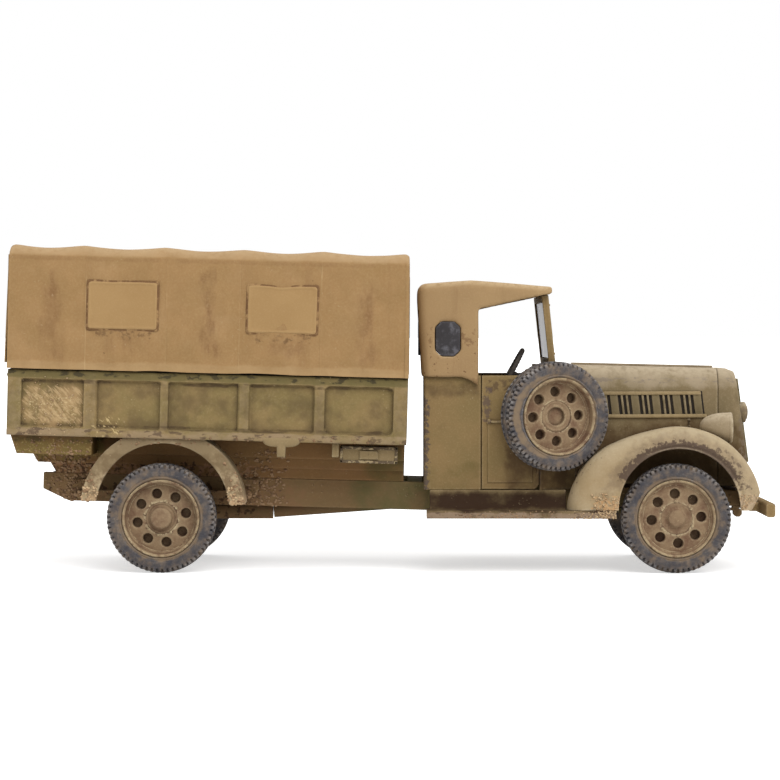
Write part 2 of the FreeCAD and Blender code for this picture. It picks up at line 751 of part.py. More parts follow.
def drill_hand_holes(body, front):
    """Cut the ring of hand holes into a disc."""
    sides = count(D.hole_sides)
    hole = pocket(body, "XZ", polygon(D.hole_pitch_radius, 0, D.hole_radius, sides),
                  D.tyre_width, offset=disc_face(front) - D.hole_depth, reverse=True)
    ring_pattern(body, hole, D.hole_count)


def disc_body(name, front, placement):
    """Road wheel turned about the axle, the outside towards -Y, with a blind hub bore."""
    body = new_body(name, placement)
    side = D.tyre_width / 2
    back = wheel_back()
    rim_in = D.bead_radius - D.rim_wall
    bore = D.pin_radius + D.pin_fit
    disc = disc_face(front)
    cap = cap_face(front)
    profile = [
        (0, bore_end(front)), (bore, bore_end(front)), (bore, -back), (D.bead_radius, -back),
        (D.bead_radius, side), (rim_in, side), (rim_in, disc), (D.cap_radius, disc),
        (D.cap_radius, cap), (0, cap),
    ]
    turn(body, "XY", [(radius, -as_size(out)) for radius, out in profile])
    drill_hand_holes(body, front)
    return body


def tyre_body(name, placement):
    """Tyre turned about the axle, seated on the rim."""
    body = new_body(name, placement)
    side = D.tyre_width / 2
    bore = D.bead_radius + D.bead_fit
    shoulder = D.tyre_radius - D.tyre_shoulder
    tread = side - D.tyre_shoulder
    profile = [
        (bore, -side), (shoulder, -side), (D.tyre_radius, -tread), (D.tyre_radius, tread),
        (shoulder, side), (bore, side),
    ]
    turn(body, "XY", profile)
    return body


def make_road_wheels():
    """Four road wheels, each a tyre on a disc wheel."""
    places = (("front", D.front_axle_x), ("rear", D.front_axle_x - D.wheelbase))
    for name, x in places:
        place = FreeCAD.Placement(vector(x, -D.wheel_track / 2, D.tyre_radius),
                                  FreeCAD.Rotation())
        keep_pair(f"wheel_{name}", disc_body(f"wheel_{name}_right", name == "front", place))
        keep_pair(f"tyre_{name}", tyre_body(f"tyre_{name}_right", place))


def make_spare_wheel():
    """Spare wheel beside the cowl, its front edge turned in; returns its peg."""
    yaw = FreeCAD.Rotation(FreeCAD.Vector(0, 0, 1), D.spare_yaw.value)
    place = FreeCAD.Placement(vector(D.spare_x, -D.spare_y, D.spare_z), yaw)
    back = wheel_back()
    side = D.tyre_width / 2
    disc = disc_face(False)
    bore = D.peg_radius + D.pin_fit
    rim_in = D.bead_radius - D.rim_wall
    wheel = new_body("spare_wheel", place)
    profile = [
        (bore, -back), (D.bead_radius, -back), (D.bead_radius, side), (rim_in, side),
        (rim_in, disc), (bore, disc),
    ]
    turn(wheel, "XY", [(radius, -as_size(out)) for radius, out in profile])
    drill_hand_holes(wheel, False)
    keep("spare_wheel", wheel)
    keep("spare_tyre", tyre_body("spare_tyre", place))
    peg = new_body("spare_peg", place)
    end = disc - D.peg_sink
    seat = back + D.joint_gap
    turn(peg, "XY", [
        (0, -end), (D.peg_radius, -end), (D.peg_radius, seat), (D.flange_radius, seat),
        (D.flange_radius, D.peg_reach), (0, D.peg_reach),
    ])
    return cut("spare_carrier", peg, cowl_envelope("spare", 0))


# ------------------------------------------------------ axles and drive line
def kingpin_y():
    """Kingpin from the middle of the truck."""
    return D.wheel_track / 2 - D.kingpin_inset


def collar_end():
    """Outer end of an axle's shoulder from the middle of the truck."""
    return D.wheel_track / 2 - wheel_back() - D.end_float


def pin_end(front):
    """Outer end of a stub axle from the middle of the truck."""
    return D.wheel_track / 2 + bore_end(front) - D.end_float


def knuckle(name, x):
    """Collar and stub axle of a right-hand front wheel."""
    start = kingpin_y() + D.kingpin_radius
    height = D.tyre_radius
    collar = rod(f"{name}_collar", D.collar_radius, (x, -start, height), (x, -collar_end(), height))
    pin = rod(f"{name}_pin", D.pin_radius, (x, -start, height), (x, -pin_end(True), height))
    return fuse(name, [collar, pin])


def make_front_axle():
    """Dropped beam with kingpin bosses, knuckles with stub axles, tie rod."""
    x = D.front_axle_x
    drop = D.tyre_radius - D.beam_drop
    half = D.beam_size / 2
    side = D.kingpin_radius
    beam = block("front_beam", (x - half, x + half), (-kingpin_y(), kingpin_y()),
                 (drop - half, drop + half))
    bosses = []
    arms = []
    rod_x = x - D.tie_rod_back
    thin = D.tie_rod_size / 2
    for tag, sign in (("right", -1), ("left", 1)):
        middle = kingpin_y() * sign
        bosses.append(block(f"kingpin_{tag}", (x - side, x + side),
                            (middle - side, middle + side),
                            (drop - half, drop - half + D.kingpin_height)))
        arms.append(block(f"steering_arm_{tag}", (rod_x, x - side),
                          (middle - thin, middle + thin), (drop - thin, drop + thin)))
    keep("front_axle", fuse("front_axle", [beam] + bosses))
    tie_rod = block("tie_rod_bar", (rod_x - thin, rod_x + thin), (-kingpin_y(), kingpin_y()),
                    (drop - thin, drop + thin))
    steering = fuse("tie_rod", [tie_rod] + arms)
    right = knuckle("knuckle_right", x)
    keep("knuckles", group("knuckles", [right, mirror("knuckle_left", right), steering]))


def make_rear_axle():
    """Axle tube with its round casing, torque tube and stub axles."""
    x = D.front_axle_x - D.wheelbase
    z = D.tyre_radius
    tube = rod("axle_tube", D.axle_radius, (x, -collar_end(), z), (x, collar_end(), z))
    pins = rod("axle_pins", D.pin_radius, (x, -pin_end(False), z), (x, pin_end(False), z))
    casing = new_body("axle_casing")
    pad(casing, "XZ", polygon(x, z, D.casing_radius, CASING_SIDES), D.casing_width, both=True)
    start = x + (D.casing_radius + D.axle_radius) / 2
    torque = rod("torque_tube", D.torque_radius, (start, 0, z), (D.torque_front_x, 0, z))
    keep("rear_axle", fuse("rear_axle", [tube, pins, casing, torque]))


def make_drive_line():
    """Drive shaft up to a plain engine and gearbox block."""
    engine_front = D.hood_front_x - D.engine_gap
    box_middle = (D.gearbox_bottom + D.gearbox_top) / 2
    start = (D.torque_front_x + D.shaft_gap, 0, D.tyre_radius)
    end = (D.gearbox_rear_x - D.shaft_gap, 0, box_middle)
    keep("drive_shaft", rod("drive_shaft", D.shaft_radius, start, end))
    low = D.engine_bottom
    high = D.engine_top
    engine = new_body("engine_casting")
    pad(engine, "XZ", [
        (D.engine_rear_x, low), (D.sump_front_x, low), (D.sump_front_x, low + D.sump_rise),
        (engine_front, low + D.sump_rise), (engine_front, high), (D.engine_rear_x, high),
    ], D.engine_half_width * 2, both=True)
    gearbox = block("gearbox_casting", (D.gearbox_rear_x, D.engine_rear_x),
                    (-D.gearbox_half_width, D.gearbox_half_width),
                    (D.gearbox_bottom, D.gearbox_top))
    mount_half = D.rail_middle - D.rail_width / 2 - D.joint_gap
    mount_x = D.sump_front_x - D.cross_width
    mount = block("engine_mount", (mount_x, mount_x + D.cross_width),
                  (-mount_half, mount_half), (low, low + D.mount_height))
    keep("engine_block", fuse("engine_block", [engine, gearbox, mount]))


def leaf_spring(name, x, low_y, bottom, half, leaves):
    """Pack of flat leaves, the longest on top, with an eye at each end."""
    number = count(leaves)
    right = []
    left = []
    for leaf in range(number):
        reach = half * ((leaf + 2) / (number + 1))
        low = bottom + D.leaf_thickness * leaf
        high = bottom + D.leaf_thickness * (leaf + 1)
        right += [(x + reach, low), (x + reach, high)]
        left += [(x - reach, low), (x - reach, high)]
    body = new_body(f"{name}_leaves")
    pad(body, "XZ", right + left[::-1], D.leaf_width, offset=low_y)
    eye_z = bottom + D.leaf_thickness * number - D.spring_eye_radius
    eyes = []
    for tag, sign in (("rear", -1), ("front", 1)):
        eye = new_body(f"{name}_{tag}_eye")
        pad(eye, "XZ", polygon(x + half * sign, eye_z, D.spring_eye_radius, EYE_SIDES),
            D.leaf_width, offset=low_y)
        eyes.append(eye)
    return fuse(name, [body] + eyes)


def rail_underside(x, height):
    """World height of a rail's underside at a world X."""
    return rail_top_at(x) - height / D.frame_pitch.cosine()


def make_front_springs():
    """Springs under the rails, with a bracket over each eye."""
    x = D.front_axle_x
    low_y = D.rail_middle - D.leaf_width / 2
    bottom = D.tyre_radius - D.beam_drop + D.beam_size / 2
    half = D.front_spring_half
    leaves = D.front_leaf_count
    spring = leaf_spring("front_leaf_spring", x, low_y, bottom, half, leaves)
    top = bottom + D.leaf_thickness * count(leaves)
    brackets = []
    for tag, sign in (("rear", -1), ("front", 1)):
        low_x = x + half * sign - D.bracket_width / 2
        high_x = x + half * sign + D.bracket_width / 2
        body = new_body(f"front_bracket_{tag}")
        roof = D.rail_front_height
        pad(body, "XZ", [(low_x, top), (high_x, top), (high_x, rail_underside(high_x, roof)),
                         (low_x, rail_underside(low_x, roof))], D.leaf_width, offset=low_y)
        brackets.append(body)
    keep_set("front_springs", fuse("front_spring_right", [spring] + brackets))


def make_rear_springs():
    """Springs outside the rails, on plates fixed to the rails' sides."""
    x = D.front_axle_x - D.wheelbase
    rail_side = D.rail_middle + D.rail_width / 2
    low_y = rail_side + D.hanger_wall
    bottom = D.tyre_radius + D.axle_radius
    half = D.rear_spring_half
    leaves = D.rear_leaf_count
    spring = leaf_spring("rear_leaf_spring", x, low_y, bottom, half, leaves)
    top = bottom + D.leaf_thickness * count(leaves)
    plates = []
    for tag, sign in (("rear", -1), ("front", 1)):
        eye_x = x + half * sign
        body = new_body(f"rear_hanger_{tag}")
        low_x = eye_x - D.hanger_width / 2
        high_x = eye_x + D.hanger_width / 2
        foot = D.spring_eye_radius
        pad(body, "XZ", [(eye_x - foot, top - foot * 2), (eye_x + foot, top - foot * 2),
                         (high_x, top), (high_x, top + D.leaf_width),
                         (low_x, top + D.leaf_width), (low_x, top)],
            D.hanger_wall, offset=rail_side)
        plates.append(body)
    keep_set("rear_springs", fuse("rear_spring_right", [spring] + plates))


# --------------------------------------------------------------------- frame
def make_frame():
    """Channel rails with tapered ends, and the cross members between them."""
    inner = D.rail_middle - D.rail_width / 2
    rail = new_body("rail_right", pitched())
    rear_knee = D.rail_rear_x + D.rail_taper
    front_knee = D.rail_taper_x + D.rail_taper
    pad(rail, "XZ", [
        (D.rail_rear_x, -D.rail_rear_height), (rear_knee, -D.rail_height),
        (D.rail_taper_x, -D.rail_height), (front_knee, -D.rail_front_height),
        (D.rail_front_x, -D.rail_front_height), (D.rail_front_x, 0), (D.rail_rear_x, 0),
    ], D.rail_width, offset=inner)
    flange = D.rail_flange
    pocket(rail, "XZ", bar(rear_knee, D.rail_taper_x, flange - D.rail_height, -flange),
           D.rail_width - D.rail_web, offset=inner, reverse=True)
    keep_pair("rail", rail)
    cross_members = []
    for index, x in enumerate((D.rear_cross_x, D.axle_cross_x, D.centre_cross_x,
                               D.cab_cross_x,
                               D.rail_front_x - D.front_cross_inset)):
        body = new_body(f"cross_member_{index}", pitched())
        pad(body, "XZ", bar(x, x + D.cross_width, -D.cross_depth, 0), inner * 2, both=True)
        cross_members.append(body)
    keep("cross_members", group("cross_members", cross_members))


def make_bumper():
    """Bumper bar on two flat irons from the rails' ends."""
    low = D.bumper_bottom
    high = low + D.bumper_height
    front = D.bumper_rear_x + D.bumper_thickness
    body = new_body("bumper_bar")
    bar_pad = pad(body, "XZ", bar(D.bumper_rear_x, front, low, high),
                  D.bumper_half_width * 2, both=True)
    soften(body, bar_pad, D.bumper_round, lambda edge: along(edge, 1))
    iron = block("bumper_iron_right", (D.rail_front_x, D.bumper_rear_x),
                 (-(D.rail_middle + D.iron_thickness / 2), -(D.rail_middle - D.iron_thickness / 2)),
                 (low + D.iron_inset, high - D.iron_inset))
    irons = [iron, mirror("bumper_iron_left", iron)]
    keep("front_bumper", fuse("front_bumper", [body] + irons))


# ----------------------------------------------------------------------- bed
def make_bed_sides():
    """Pressed sides with a row of sunk panels."""
    side = new_body("bed_side_right", pitched())
    inner = D.bed_half_width - D.bed_wall
    pad(side, "XZ", bar(D.bed_rear_x, D.bed_front_x, D.bed_bottom, D.bed_top),
        D.bed_wall, offset=inner)
    number = count(D.panel_count)
    start = D.bed_rear_x + D.panel_rear_post
    end = D.bed_front_x - D.panel_front_post
    width = (end - start - D.panel_post * (number - 1)) / number
    low = D.bed_bottom + D.panel_low_rail
    high = D.bed_top - D.panel_top_rail
    sketch = new_sketch(side, "XZ", D.bed_half_width)
    for panel in range(number):
        left = start + (width + D.panel_post) * panel
        draw_outline(sketch, cut_corners(left, left + width, low, high, D.panel_corner))
    recess = side.newObject("PartDesign::Pocket", "sunk_panels")
    recess.Profile = sketch
    tie(recess, "Length", D.panel_recess)
    keep_pair("bed_side", side)


def make_bed():
    """Floor, headboard and tailgate between the sides."""
    inner = (D.bed_half_width - D.bed_wall - D.joint_gap) * 2
    floor_top = D.bed_bottom + D.bed_wall
    plates = (
        ("bed_floor", D.bed_rear_x, D.bed_front_x, D.bed_bottom, floor_top),
        ("headboard", D.bed_front_x - D.bed_wall, D.bed_front_x, floor_top, D.bed_top),
        ("tailgate", D.bed_rear_x, D.bed_rear_x + D.bed_wall, floor_top, D.bed_top),
    )
    for name, rear, front, low, high in plates:
        body = new_body(name, pitched())
        pad(body, "XZ", bar(rear, front, low, high), inner, both=True)
        keep(name, body)


def make_bearers():
    """Stepped longitudinal bearers between the rails and the bed's floor."""
    layers = (
        ("low", D.low_bearer_rear_x, D.low_bearer_outer, 0, D.low_bearer_top),
        ("mid", D.mid_bearer_rear_x, D.mid_bearer_outer, D.low_bearer_top, D.mid_bearer_top),
        ("high", D.sill_rear_x, D.high_bearer_outer, D.mid_bearer_top, D.bed_bottom),
    )
    bodies = []
    for name, rear, outer, low, high in layers:
        body = new_body(f"{name}_bearer", pitched())
        pad(body, "XZ", [(rear + D.bearer_slant, low), (D.bearer_front_x, low),
                         (D.bearer_front_x, high), (rear, high)],
            outer - D.bearer_inner, offset=D.bearer_inner)
        bodies.append(body)
    fender_x = D.front_axle_x - D.wheelbase + D.rear_fender_shift
    rise = D.mid_bearer_top - D.rear_fender_z
    reach = (D.rear_fender_outer * D.rear_fender_outer - rise * rise).root()
    front = fender_x - reach - D.sill_gap
    sill = new_body("rear_sill", pitched())
    pad(sill, "XZ", [(D.sill_rear_x + D.bearer_slant, D.mid_bearer_top),
                     (front, D.mid_bearer_top), (front, D.bed_bottom),
                     (D.sill_rear_x, D.bed_bottom)],
        D.sill_outer - D.bearer_inner, offset=D.bearer_inner)
    bodies.append(sill)
    keep_set("bearers", fuse("bearer_right", bodies))


def make_under_bed():
    """Toolboxes and lugs that hang under the bed's edges."""
    box = new_body("toolbox_right", pitched())
    pad(box, "XZ", bar(D.box_rear_x, D.box_front_x, D.box_bottom, D.bed_bottom),
        D.box_depth, offset=D.box_outer - D.box_depth)
    middle = (D.box_rear_x + D.box_front_x) / 2
    pad(box, "XZ", bar(middle - D.box_middle / 2, middle + D.box_middle / 2,
                       D.box_bottom + D.box_border, D.bed_bottom - D.box_border),
        D.box_rise, offset=D.box_outer)
    keep_set("toolboxes", box)
    lug = new_body("bed_lug_right", pitched())
    low = D.bed_bottom - D.lug_height
    front = D.lug_rear_x + D.lug_length
    stem = D.lug_rear_x + D.lug_length / 2
    pad(lug, "XZ", [
        (D.lug_rear_x + D.lug_stem, low), (stem - D.lug_stem / 2, low),
        (stem - D.lug_stem / 2, low - D.lug_stem), (stem + D.lug_stem / 2, low - D.lug_stem),
        (stem + D.lug_stem / 2, low), (front - D.lug_stem, low), (front, D.bed_bottom),
        (D.lug_rear_x, D.bed_bottom),
    ], D.lug_width, offset=D.box_outer)
    keep_set("bed_lugs", lug)


def make_rear_fenders():
    """Half-round rear fenders with a side lip, cut off flat under the bed."""
    x = D.front_axle_x - D.wheelbase + D.rear_fender_shift
    z = D.rear_fender_z
    outer = D.rear_fender_outer
    crown = outer - D.rear_fender_wall
    lip = outer - D.rear_fender_lip
    foot = D.rear_fender_foot
    rise = D.bed_bottom - z
    drop = foot - z
    trim = (outer * outer - rise * rise).root()
    foot_half = (outer * outer - drop * drop).root()
    lip_half = (lip * lip - drop * drop).root()
    crown_half = (crown * crown - drop * drop).root()
    crown_trim = (crown * crown - rise * rise).root()
    body = new_body("rear_fender_right", pitched())
    pad(body, "XZ", [
        (x - foot_half, foot, -outer), (x - trim, D.bed_bottom), (x + trim, D.bed_bottom, -outer),
        (x + foot_half, foot), (x + lip_half, foot, lip), (x - lip_half, foot),
    ], D.rear_fender_out_y - D.rear_fender_in_y, offset=D.rear_fender_in_y)
    hollow = D.rear_fender_out_y - D.rear_fender_in_y - D.rear_fender_wall
    pocket(body, "XZ", [
        (x - crown_half, foot, -crown), (x - crown_trim, D.bed_bottom),
        (x + crown_trim, D.bed_bottom, -crown), (x + crown_half, foot),
    ], hollow, offset=D.rear_fender_in_y, reverse=True)
    keep_pair("rear_fender", body)


# --------------------------------------------------------------------- cover
def cover_section(inset, sag, foot):
    """Corners of the cover's section, taken in by its wall or its sag."""
    half = D.bed_half_width + D.cover_proud - inset
    top = D.cover_top - inset - sag
    radius = D.cover_shoulder - inset
    return [
        (-half, foot), (half, foot), (half, top - radius, radius),
        (half - radius, top), (radius - half, top, radius), (-half, top - radius),
    ]


def hoop_places():
    """X of each hoop between the cover's ends."""
    return [D.hoop_first_x + D.hoop_pitch * hoop for hoop in range(count(D.hoop_count))]


def make_cover():
    """Canvas cover on hoops: it sags between them; open below and behind."""
    foot = D.bed_top + D.cover_gap
    hoops = [D.cover_rear_x] + hoop_places() + [D.cover_front_x]
    stations = [(hoops[0], cover_section(0, 0, foot))]
    for here, ahead in zip(hoops, hoops[1:]):
        stations.append(((here + ahead) / 2, cover_section(0, D.cover_sag, foot)))
        stations.append((ahead, cover_section(0, 0, foot)))
    body = new_body("bed_cover", pitched())
    loft(body, stations)
    hollow = [
        (D.cover_rear_x - D.cover_wall, cover_section(D.cover_wall, D.cover_sag, foot - D.cover_wall)),
        (D.cover_front_x - D.cover_wall, cover_section(D.cover_wall, D.cover_sag, foot - D.cover_wall)),
    ]
    loft(body, hollow, subtract=True)
    keep("bed_cover", body)


def make_cover_flaps():
    """Rolled-down window flaps on the cover's sides."""
    side = D.bed_half_width + D.cover_proud
    hoops = hoop_places()
    flaps = []
    for span in range(0, len(hoops) - 1, 2):
        low_x = (hoops[span] + hoops[span + 1]) / 2 - D.flap_width / 2
        body = new_body(f"cover_flap_{span}", pitched())
        corners = cut_corners(low_x, low_x + D.flap_width, D.flap_bottom,
                              D.flap_bottom + D.flap_height, D.flap_corner)
        pad(body, "XZ", corners, D.flap_wall, offset=side)
        flaps.append(body)
    keep_set("cover_flaps", group("cover_flap_right", flaps))


def make_curtain():
    """Rear curtain, which hangs clear of the tailgate at its foot."""
    body = new_body("rear_curtain", pitched())
    rear = D.cover_rear_x
    pad(body, "XZ", [
        (rear - D.curtain_wall - D.curtain_flare, D.curtain_bottom),
        (rear - D.curtain_flare, D.curtain_bottom), (rear, D.curtain_top - D.curtain_drape),
        (rear, D.curtain_top), (rear - D.curtain_wall, D.curtain_top),
        (rear - D.curtain_wall, D.curtain_top - D.curtain_drape),
    ], D.curtain_half_width * 2, both=True)
    keep("rear_curtain", body)


# --------------------------------------------------------- hood and radiator
def hood_half_at(x):
    """Half width of the hood at X; the hood tapers forward."""
    slope = (D.hood_rear_half - D.hood_front_half) / (D.hood_front_x - D.cowl_front_x)
    return D.hood_rear_half - slope * (x - D.cowl_front_x)


def hood_front_top():
    """Top of the hood at its front."""
    return D.cowl_top - D.hood_fall


def hood_top_at(x):
    """Height of the hood at X."""
    slope = (D.cowl_top - hood_front_top()) / (D.hood_front_x - D.cowl_front_x)
    return D.cowl_top - slope * (x - D.cowl_front_x)


def arched_section(half, top, foot, shoulder):
    """Corners of a section with a flat top and rounded shoulders."""
    return [
        (-half, foot), (half, foot), (half, top - shoulder, shoulder),
        (half - shoulder, top), (shoulder - half, top, shoulder), (-half, top - shoulder),
    ]


def hood_section(x, grow, foot):
    """The hood's section at X, grown or shrunk all round."""
    half = hood_half_at(x) + grow
    return arched_section(half, hood_top_at(x) + grow, foot, D.hood_shoulder + grow)


def cowl_section(x, grow, foot):
    """The cowl's section at X: as wide as the cab behind, as the hood in front."""
    slope = (D.cab_half_width - D.hood_rear_half) / (D.cowl_front_x - cowl_rear())
    half = D.cab_half_width - slope * (x - cowl_rear()) + grow
    return arched_section(half, D.cowl_top + grow, foot, D.hood_shoulder + grow)


def cowl_rear():
    """X where the cowl meets the door."""
    return D.door_front_x + D.shut_line


def cowl_envelope(tag, grow):
    """Solid block of the cowl's outside, to seat other parts on it."""
    body = new_body(f"cowl_envelope_{tag}")
    rear = cowl_rear() - D.peg_reach
    foot = D.board_bottom
    loft(body, [(rear, cowl_section(rear, grow, foot)),
                (D.cowl_front_x, cowl_section(D.cowl_front_x, grow, foot))])
    return body


def hood_envelope(tag, grow):
    """Solid block of the hood's outside, run on past its front."""
    body = new_body(f"hood_envelope_{tag}")
    ahead = D.bumper_rear_x
    foot = D.board_bottom
    loft(body, [(D.cowl_front_x, hood_section(D.cowl_front_x, grow, foot)),
                (ahead, hood_section(ahead, grow, foot))])
    return body


def make_hood():
    """Hollow hood that tapers to the radiator, with its centre hinge."""
    body = new_body("hood_panels")
    rear = D.cowl_front_x + D.joint_gap
    front = D.hood_front_x
    foot = D.hood_bottom
    loft(body, [(rear, hood_section(rear, 0, foot)), (front, hood_section(front, 0, foot))])
    wall = -D.hood_wall
    below = foot - D.hood_wall
    loft(body, [(rear, hood_section(rear, wall, below)),
                (front, hood_section(front, wall, below))], subtract=True)
    hinge = new_body("hood_hinge")
    half = D.hinge_width / 2
    pad(hinge, "XZ", [
        (rear, hood_top_at(rear)), (front, hood_top_at(front)),
        (front, hood_top_at(front) + D.hinge_height),
        (rear, hood_top_at(rear) + D.hinge_height),
    ], half * 2, both=True)
    keep("hood", fuse("hood", [body, hinge]))


def hood_side_place():
    """Placement on the hood's right side, X along it and -Y straight out."""
    run = D.hood_front_x - D.cowl_front_x
    taper = math.atan2((D.hood_rear_half - D.hood_front_half).value, run.value)
    rotation = FreeCAD.Rotation(FreeCAD.Vector(0, 0, 1), math.degrees(taper))
    return FreeCAD.Placement(vector(D.cowl_front_x, -D.hood_rear_half, 0), rotation)


def make_louvres():
    """Louvre band between two trim strips on each side of the hood."""
    body = new_body("louvre_panel_right", hood_side_place())
    rear = D.louvre_rear_gap
    front = D.hood_front_x - D.louvre_front_gap - D.cowl_front_x
    low = D.louvre_bottom
    high = D.louvre_top
    trim = D.louvre_trim
    pad(body, "XZ", bar(rear, front, low, high), D.louvre_rise - D.louvre_sink)
    for strip in (low, high - trim):
        pad(body, "XZ", bar(rear, front, strip, strip + trim), D.louvre_rise)
    slots = new_sketch(body, "XZ", D.louvre_rise - D.louvre_sink)
    groups = count(D.louvre_group)
    per_group = count(D.slat_count)
    first = front - D.louvre_pitch * groups
    for number in range(groups):
        for slat in range(per_group):
            left = first + D.louvre_pitch * number + D.slat_pitch * slat
            draw_outline(slots, bar(left, left + D.slat_width, low + trim + D.louvre_sink,
                                    high - trim - D.louvre_sink))
    cutter = body.newObject("PartDesign::Pocket", "louvre_slots")
    cutter.Profile = slots
    tie(cutter, "Length", D.louvre_sink)
    keep_pair("louvre_panel", body)


def shell_front_at(z):
    """X of the radiator shell's leaning front at a height."""
    lean = D.shell_lean_angle.tangent()
    return D.hood_front_x + D.shell_depth + (hood_front_top() - z) * lean


def make_radiator():
    """Radiator shell: a leaning front, rounded shoulders and bevelled front edges."""
    body = new_body("shell_block")
    rear = D.hood_front_x + D.joint_gap
    low = D.shell_bottom
    high = hood_front_top()
    solid = pad(body, "XZ", [(rear, low), (shell_front_at(low), low),
                             (shell_front_at(high), high), (rear, high)],
                D.hood_front_half * 2, both=True)
    shoulders = soften(body, solid, D.hood_shoulder,
                       lambda edge: along(edge, 0) and ends_at(edge, 2, high))
    front_edges = shell_front_at(high).value - NEARLY
    bevel(body, shoulders, D.shell_nose, lambda edge: all(
        v.Point.x > front_edges and v.Point.z > low.value + NEARLY or
        v.Point.x > shell_front_at(low).value - NEARLY for v in edge.Vertexes)
        and not along(edge, 1) or along(edge, 1) and ends_at(edge, 0, shell_front_at(high)))
    keep("radiator_shell", body)


def badge_front():
    """Front of the plain boss on the grille's ridge."""
    return shell_front_at(D.badge_z) + D.grille_depth + D.badge_proud


def make_grille():
    """V-shaped grille of upright bars on the shell, with a plain round boss."""
    half = D.grille_half_width
    foot = D.grille_bottom
    place = turned_about_y(shell_front_at(foot), 0, foot, -D.shell_lean_angle)
    body = new_body("grille_bars", place)
    slope = (D.grille_depth - D.bar_depth) / half
    bars = int((half.value - D.bar_width.value / 2) / D.bar_pitch.value)
    comb = []
    for number in range(-bars, bars + 1):
        middle = D.bar_pitch * number
        crest = D.grille_depth - slope * D.bar_pitch * abs(number)
        low = middle - D.bar_width / 2
        high = middle + D.bar_width / 2
        core = crest - D.bar_depth
        comb += [(core, low), (crest, low), (crest, high), (core, high)]
    pad(body, "XY", [(0, -half)] + comb + [(0, half)], D.grille_height)
    badge_seat = rod("badge_seat", D.badge_radius + D.joint_gap,
                     (badge_front() - D.badge_thickness, 0, D.badge_z),
                     (badge_front() + D.badge_thickness, 0, D.badge_z))
    keep("grille", cut("grille", body, badge_seat))
    keep("radiator_boss", rod("radiator_boss", D.badge_radius,
                              (badge_front() - D.badge_thickness, 0, D.badge_z),
                              (badge_front(), 0, D.badge_z)))


# ------------------------------------------------- fenders, lamps and boards
def fender_block(name, side_clearance):
    """Solid of a right front fender's outside, before its shoulder is bevelled."""
    body = new_body(name)
    inner = D.fender_inner + side_clearance
    outline = [
        (D.fender_foot_x, D.board_top, -D.sweep_radius),
        (D.fender_brow_x, D.fender_brow, -D.crown_radius),
        (D.fender_top_x, D.fender_top, -D.nose_radius),
        (D.fender_nose_x, D.fender_nose),
        (D.fender_tip_x, D.board_top),
    ]
    return body, pad(body, "XZ", outline, D.fender_outer - inner, offset=inner)


def bevel_shoulder(body, solid):
    """Bevel the outer shoulder of a fender's solid."""
    low = D.board_top.value + NEARLY
    bevel(body, solid, D.fender_crown, lambda edge: ends_at(edge, 1, -D.fender_outer)
          and max(v.Point.z for v in edge.Vertexes) > low)


def make_front_fenders():
    """Shell fenders with a bevelled shoulder, open below and towards the hood."""
    body, solid = fender_block("fender_shell", 0)
    doc.recompute()
    openings = []
    for number, face in enumerate(solid.Shape.Faces, start=1):
        centre = face.CenterOfMass
        if at(centre.z, D.board_top) or at(centre.y, -D.fender_inner):
            openings.append(f"Face{number}")
    shell = body.newObject("PartDesign::Thickness", "fender_walls")
    shell.Base = (solid, openings)
    shell.Reversed = True
    tie(shell, "Value", D.fender_wall)
    bevel_shoulder(body, shell)
    arch_x = D.front_axle_x + D.arch_shift
    arch_z = D.tyre_radius + D.arch_lift
    arch = rod("fender_arch", D.arch_radius, (arch_x, -D.fender_inner, arch_z),
               (arch_x, -(D.fender_outer + D.fender_wall), arch_z))
    side = D.rail_middle + D.rail_width / 2 + D.joint_gap
    rails = block("rail_clearance", (D.fender_foot_x - D.fender_wall, D.bumper_rear_x),
                  (-side, 0), (0, D.frame_top))
    tool = fuse("fender_tool", [arch, rails, hood_envelope("fender", D.joint_gap),
                                cowl_envelope("fender", D.joint_gap)])
    keep_pair("front_fender", cut("front_fender_right", body, tool))


def make_headlights():
    """Bullet headlights seated on the fenders, with flat lenses."""
    body = new_body("lamp_shell", FreeCAD.Placement(vector(0, -D.lamp_y, D.lamp_z),
                                                    FreeCAD.Rotation()))
    radius = D.lamp_radius
    front = D.lamp_front_x
    seat = radius - D.lens_rim
    turn(body, "XY", [
        (D.lamp_rear_x, 0), (D.lamp_rear_x, D.lamp_tail_radius), (front - D.lamp_barrel, radius),
        (front, radius), (front, seat), (front - D.lens_thickness / 2, seat),
        (front - D.lens_thickness / 2, 0),
    ], axis="H_Axis")
    block_body, solid = fender_block("fender_seat", 0)
    bevel_shoulder(block_body, solid)
    seated = cut("headlight_right", body, block_body)
    keep_pair("headlight", seated)
    lens = new_body("lens_right", FreeCAD.Placement(vector(0, -D.lamp_y, D.lamp_z),
                                                    FreeCAD.Rotation()))
    back = front - D.lens_thickness / 2
    rim = seat - D.joint_gap
    face = back + D.lens_thickness
    turn(lens, "XY", [(back, 0), (back, rim), (face, rim), (face, 0)], axis="H_Axis")
    keep_set("headlight_lenses", lens)


def make_running_boards():
    """Running boards with the hollow-curved valance under the cab's sill."""
    body = new_body("running_board_right")
    board = [
        (-D.board_outer, D.board_bottom), (-D.board_inner, D.board_bottom),
        (-D.board_inner, D.board_top), (-D.board_outer, D.board_top),
    ]
    run = D.board_front_x - D.board_rear_x
    pad(body, "YZ", board, run, offset=D.board_rear_x)
    valance = [
        (-D.board_inner, D.board_top), (-D.board_inner, D.sill_bottom),
        (-D.cab_half_width, D.sill_bottom, -D.valance_curve), (-D.valance_foot, D.board_top),
    ]
    rear = D.cab_rear_x + D.panel_wall
    pad(body, "YZ", valance, D.fender_foot_x - rear, offset=rear)
    keep_pair("running_board", body)


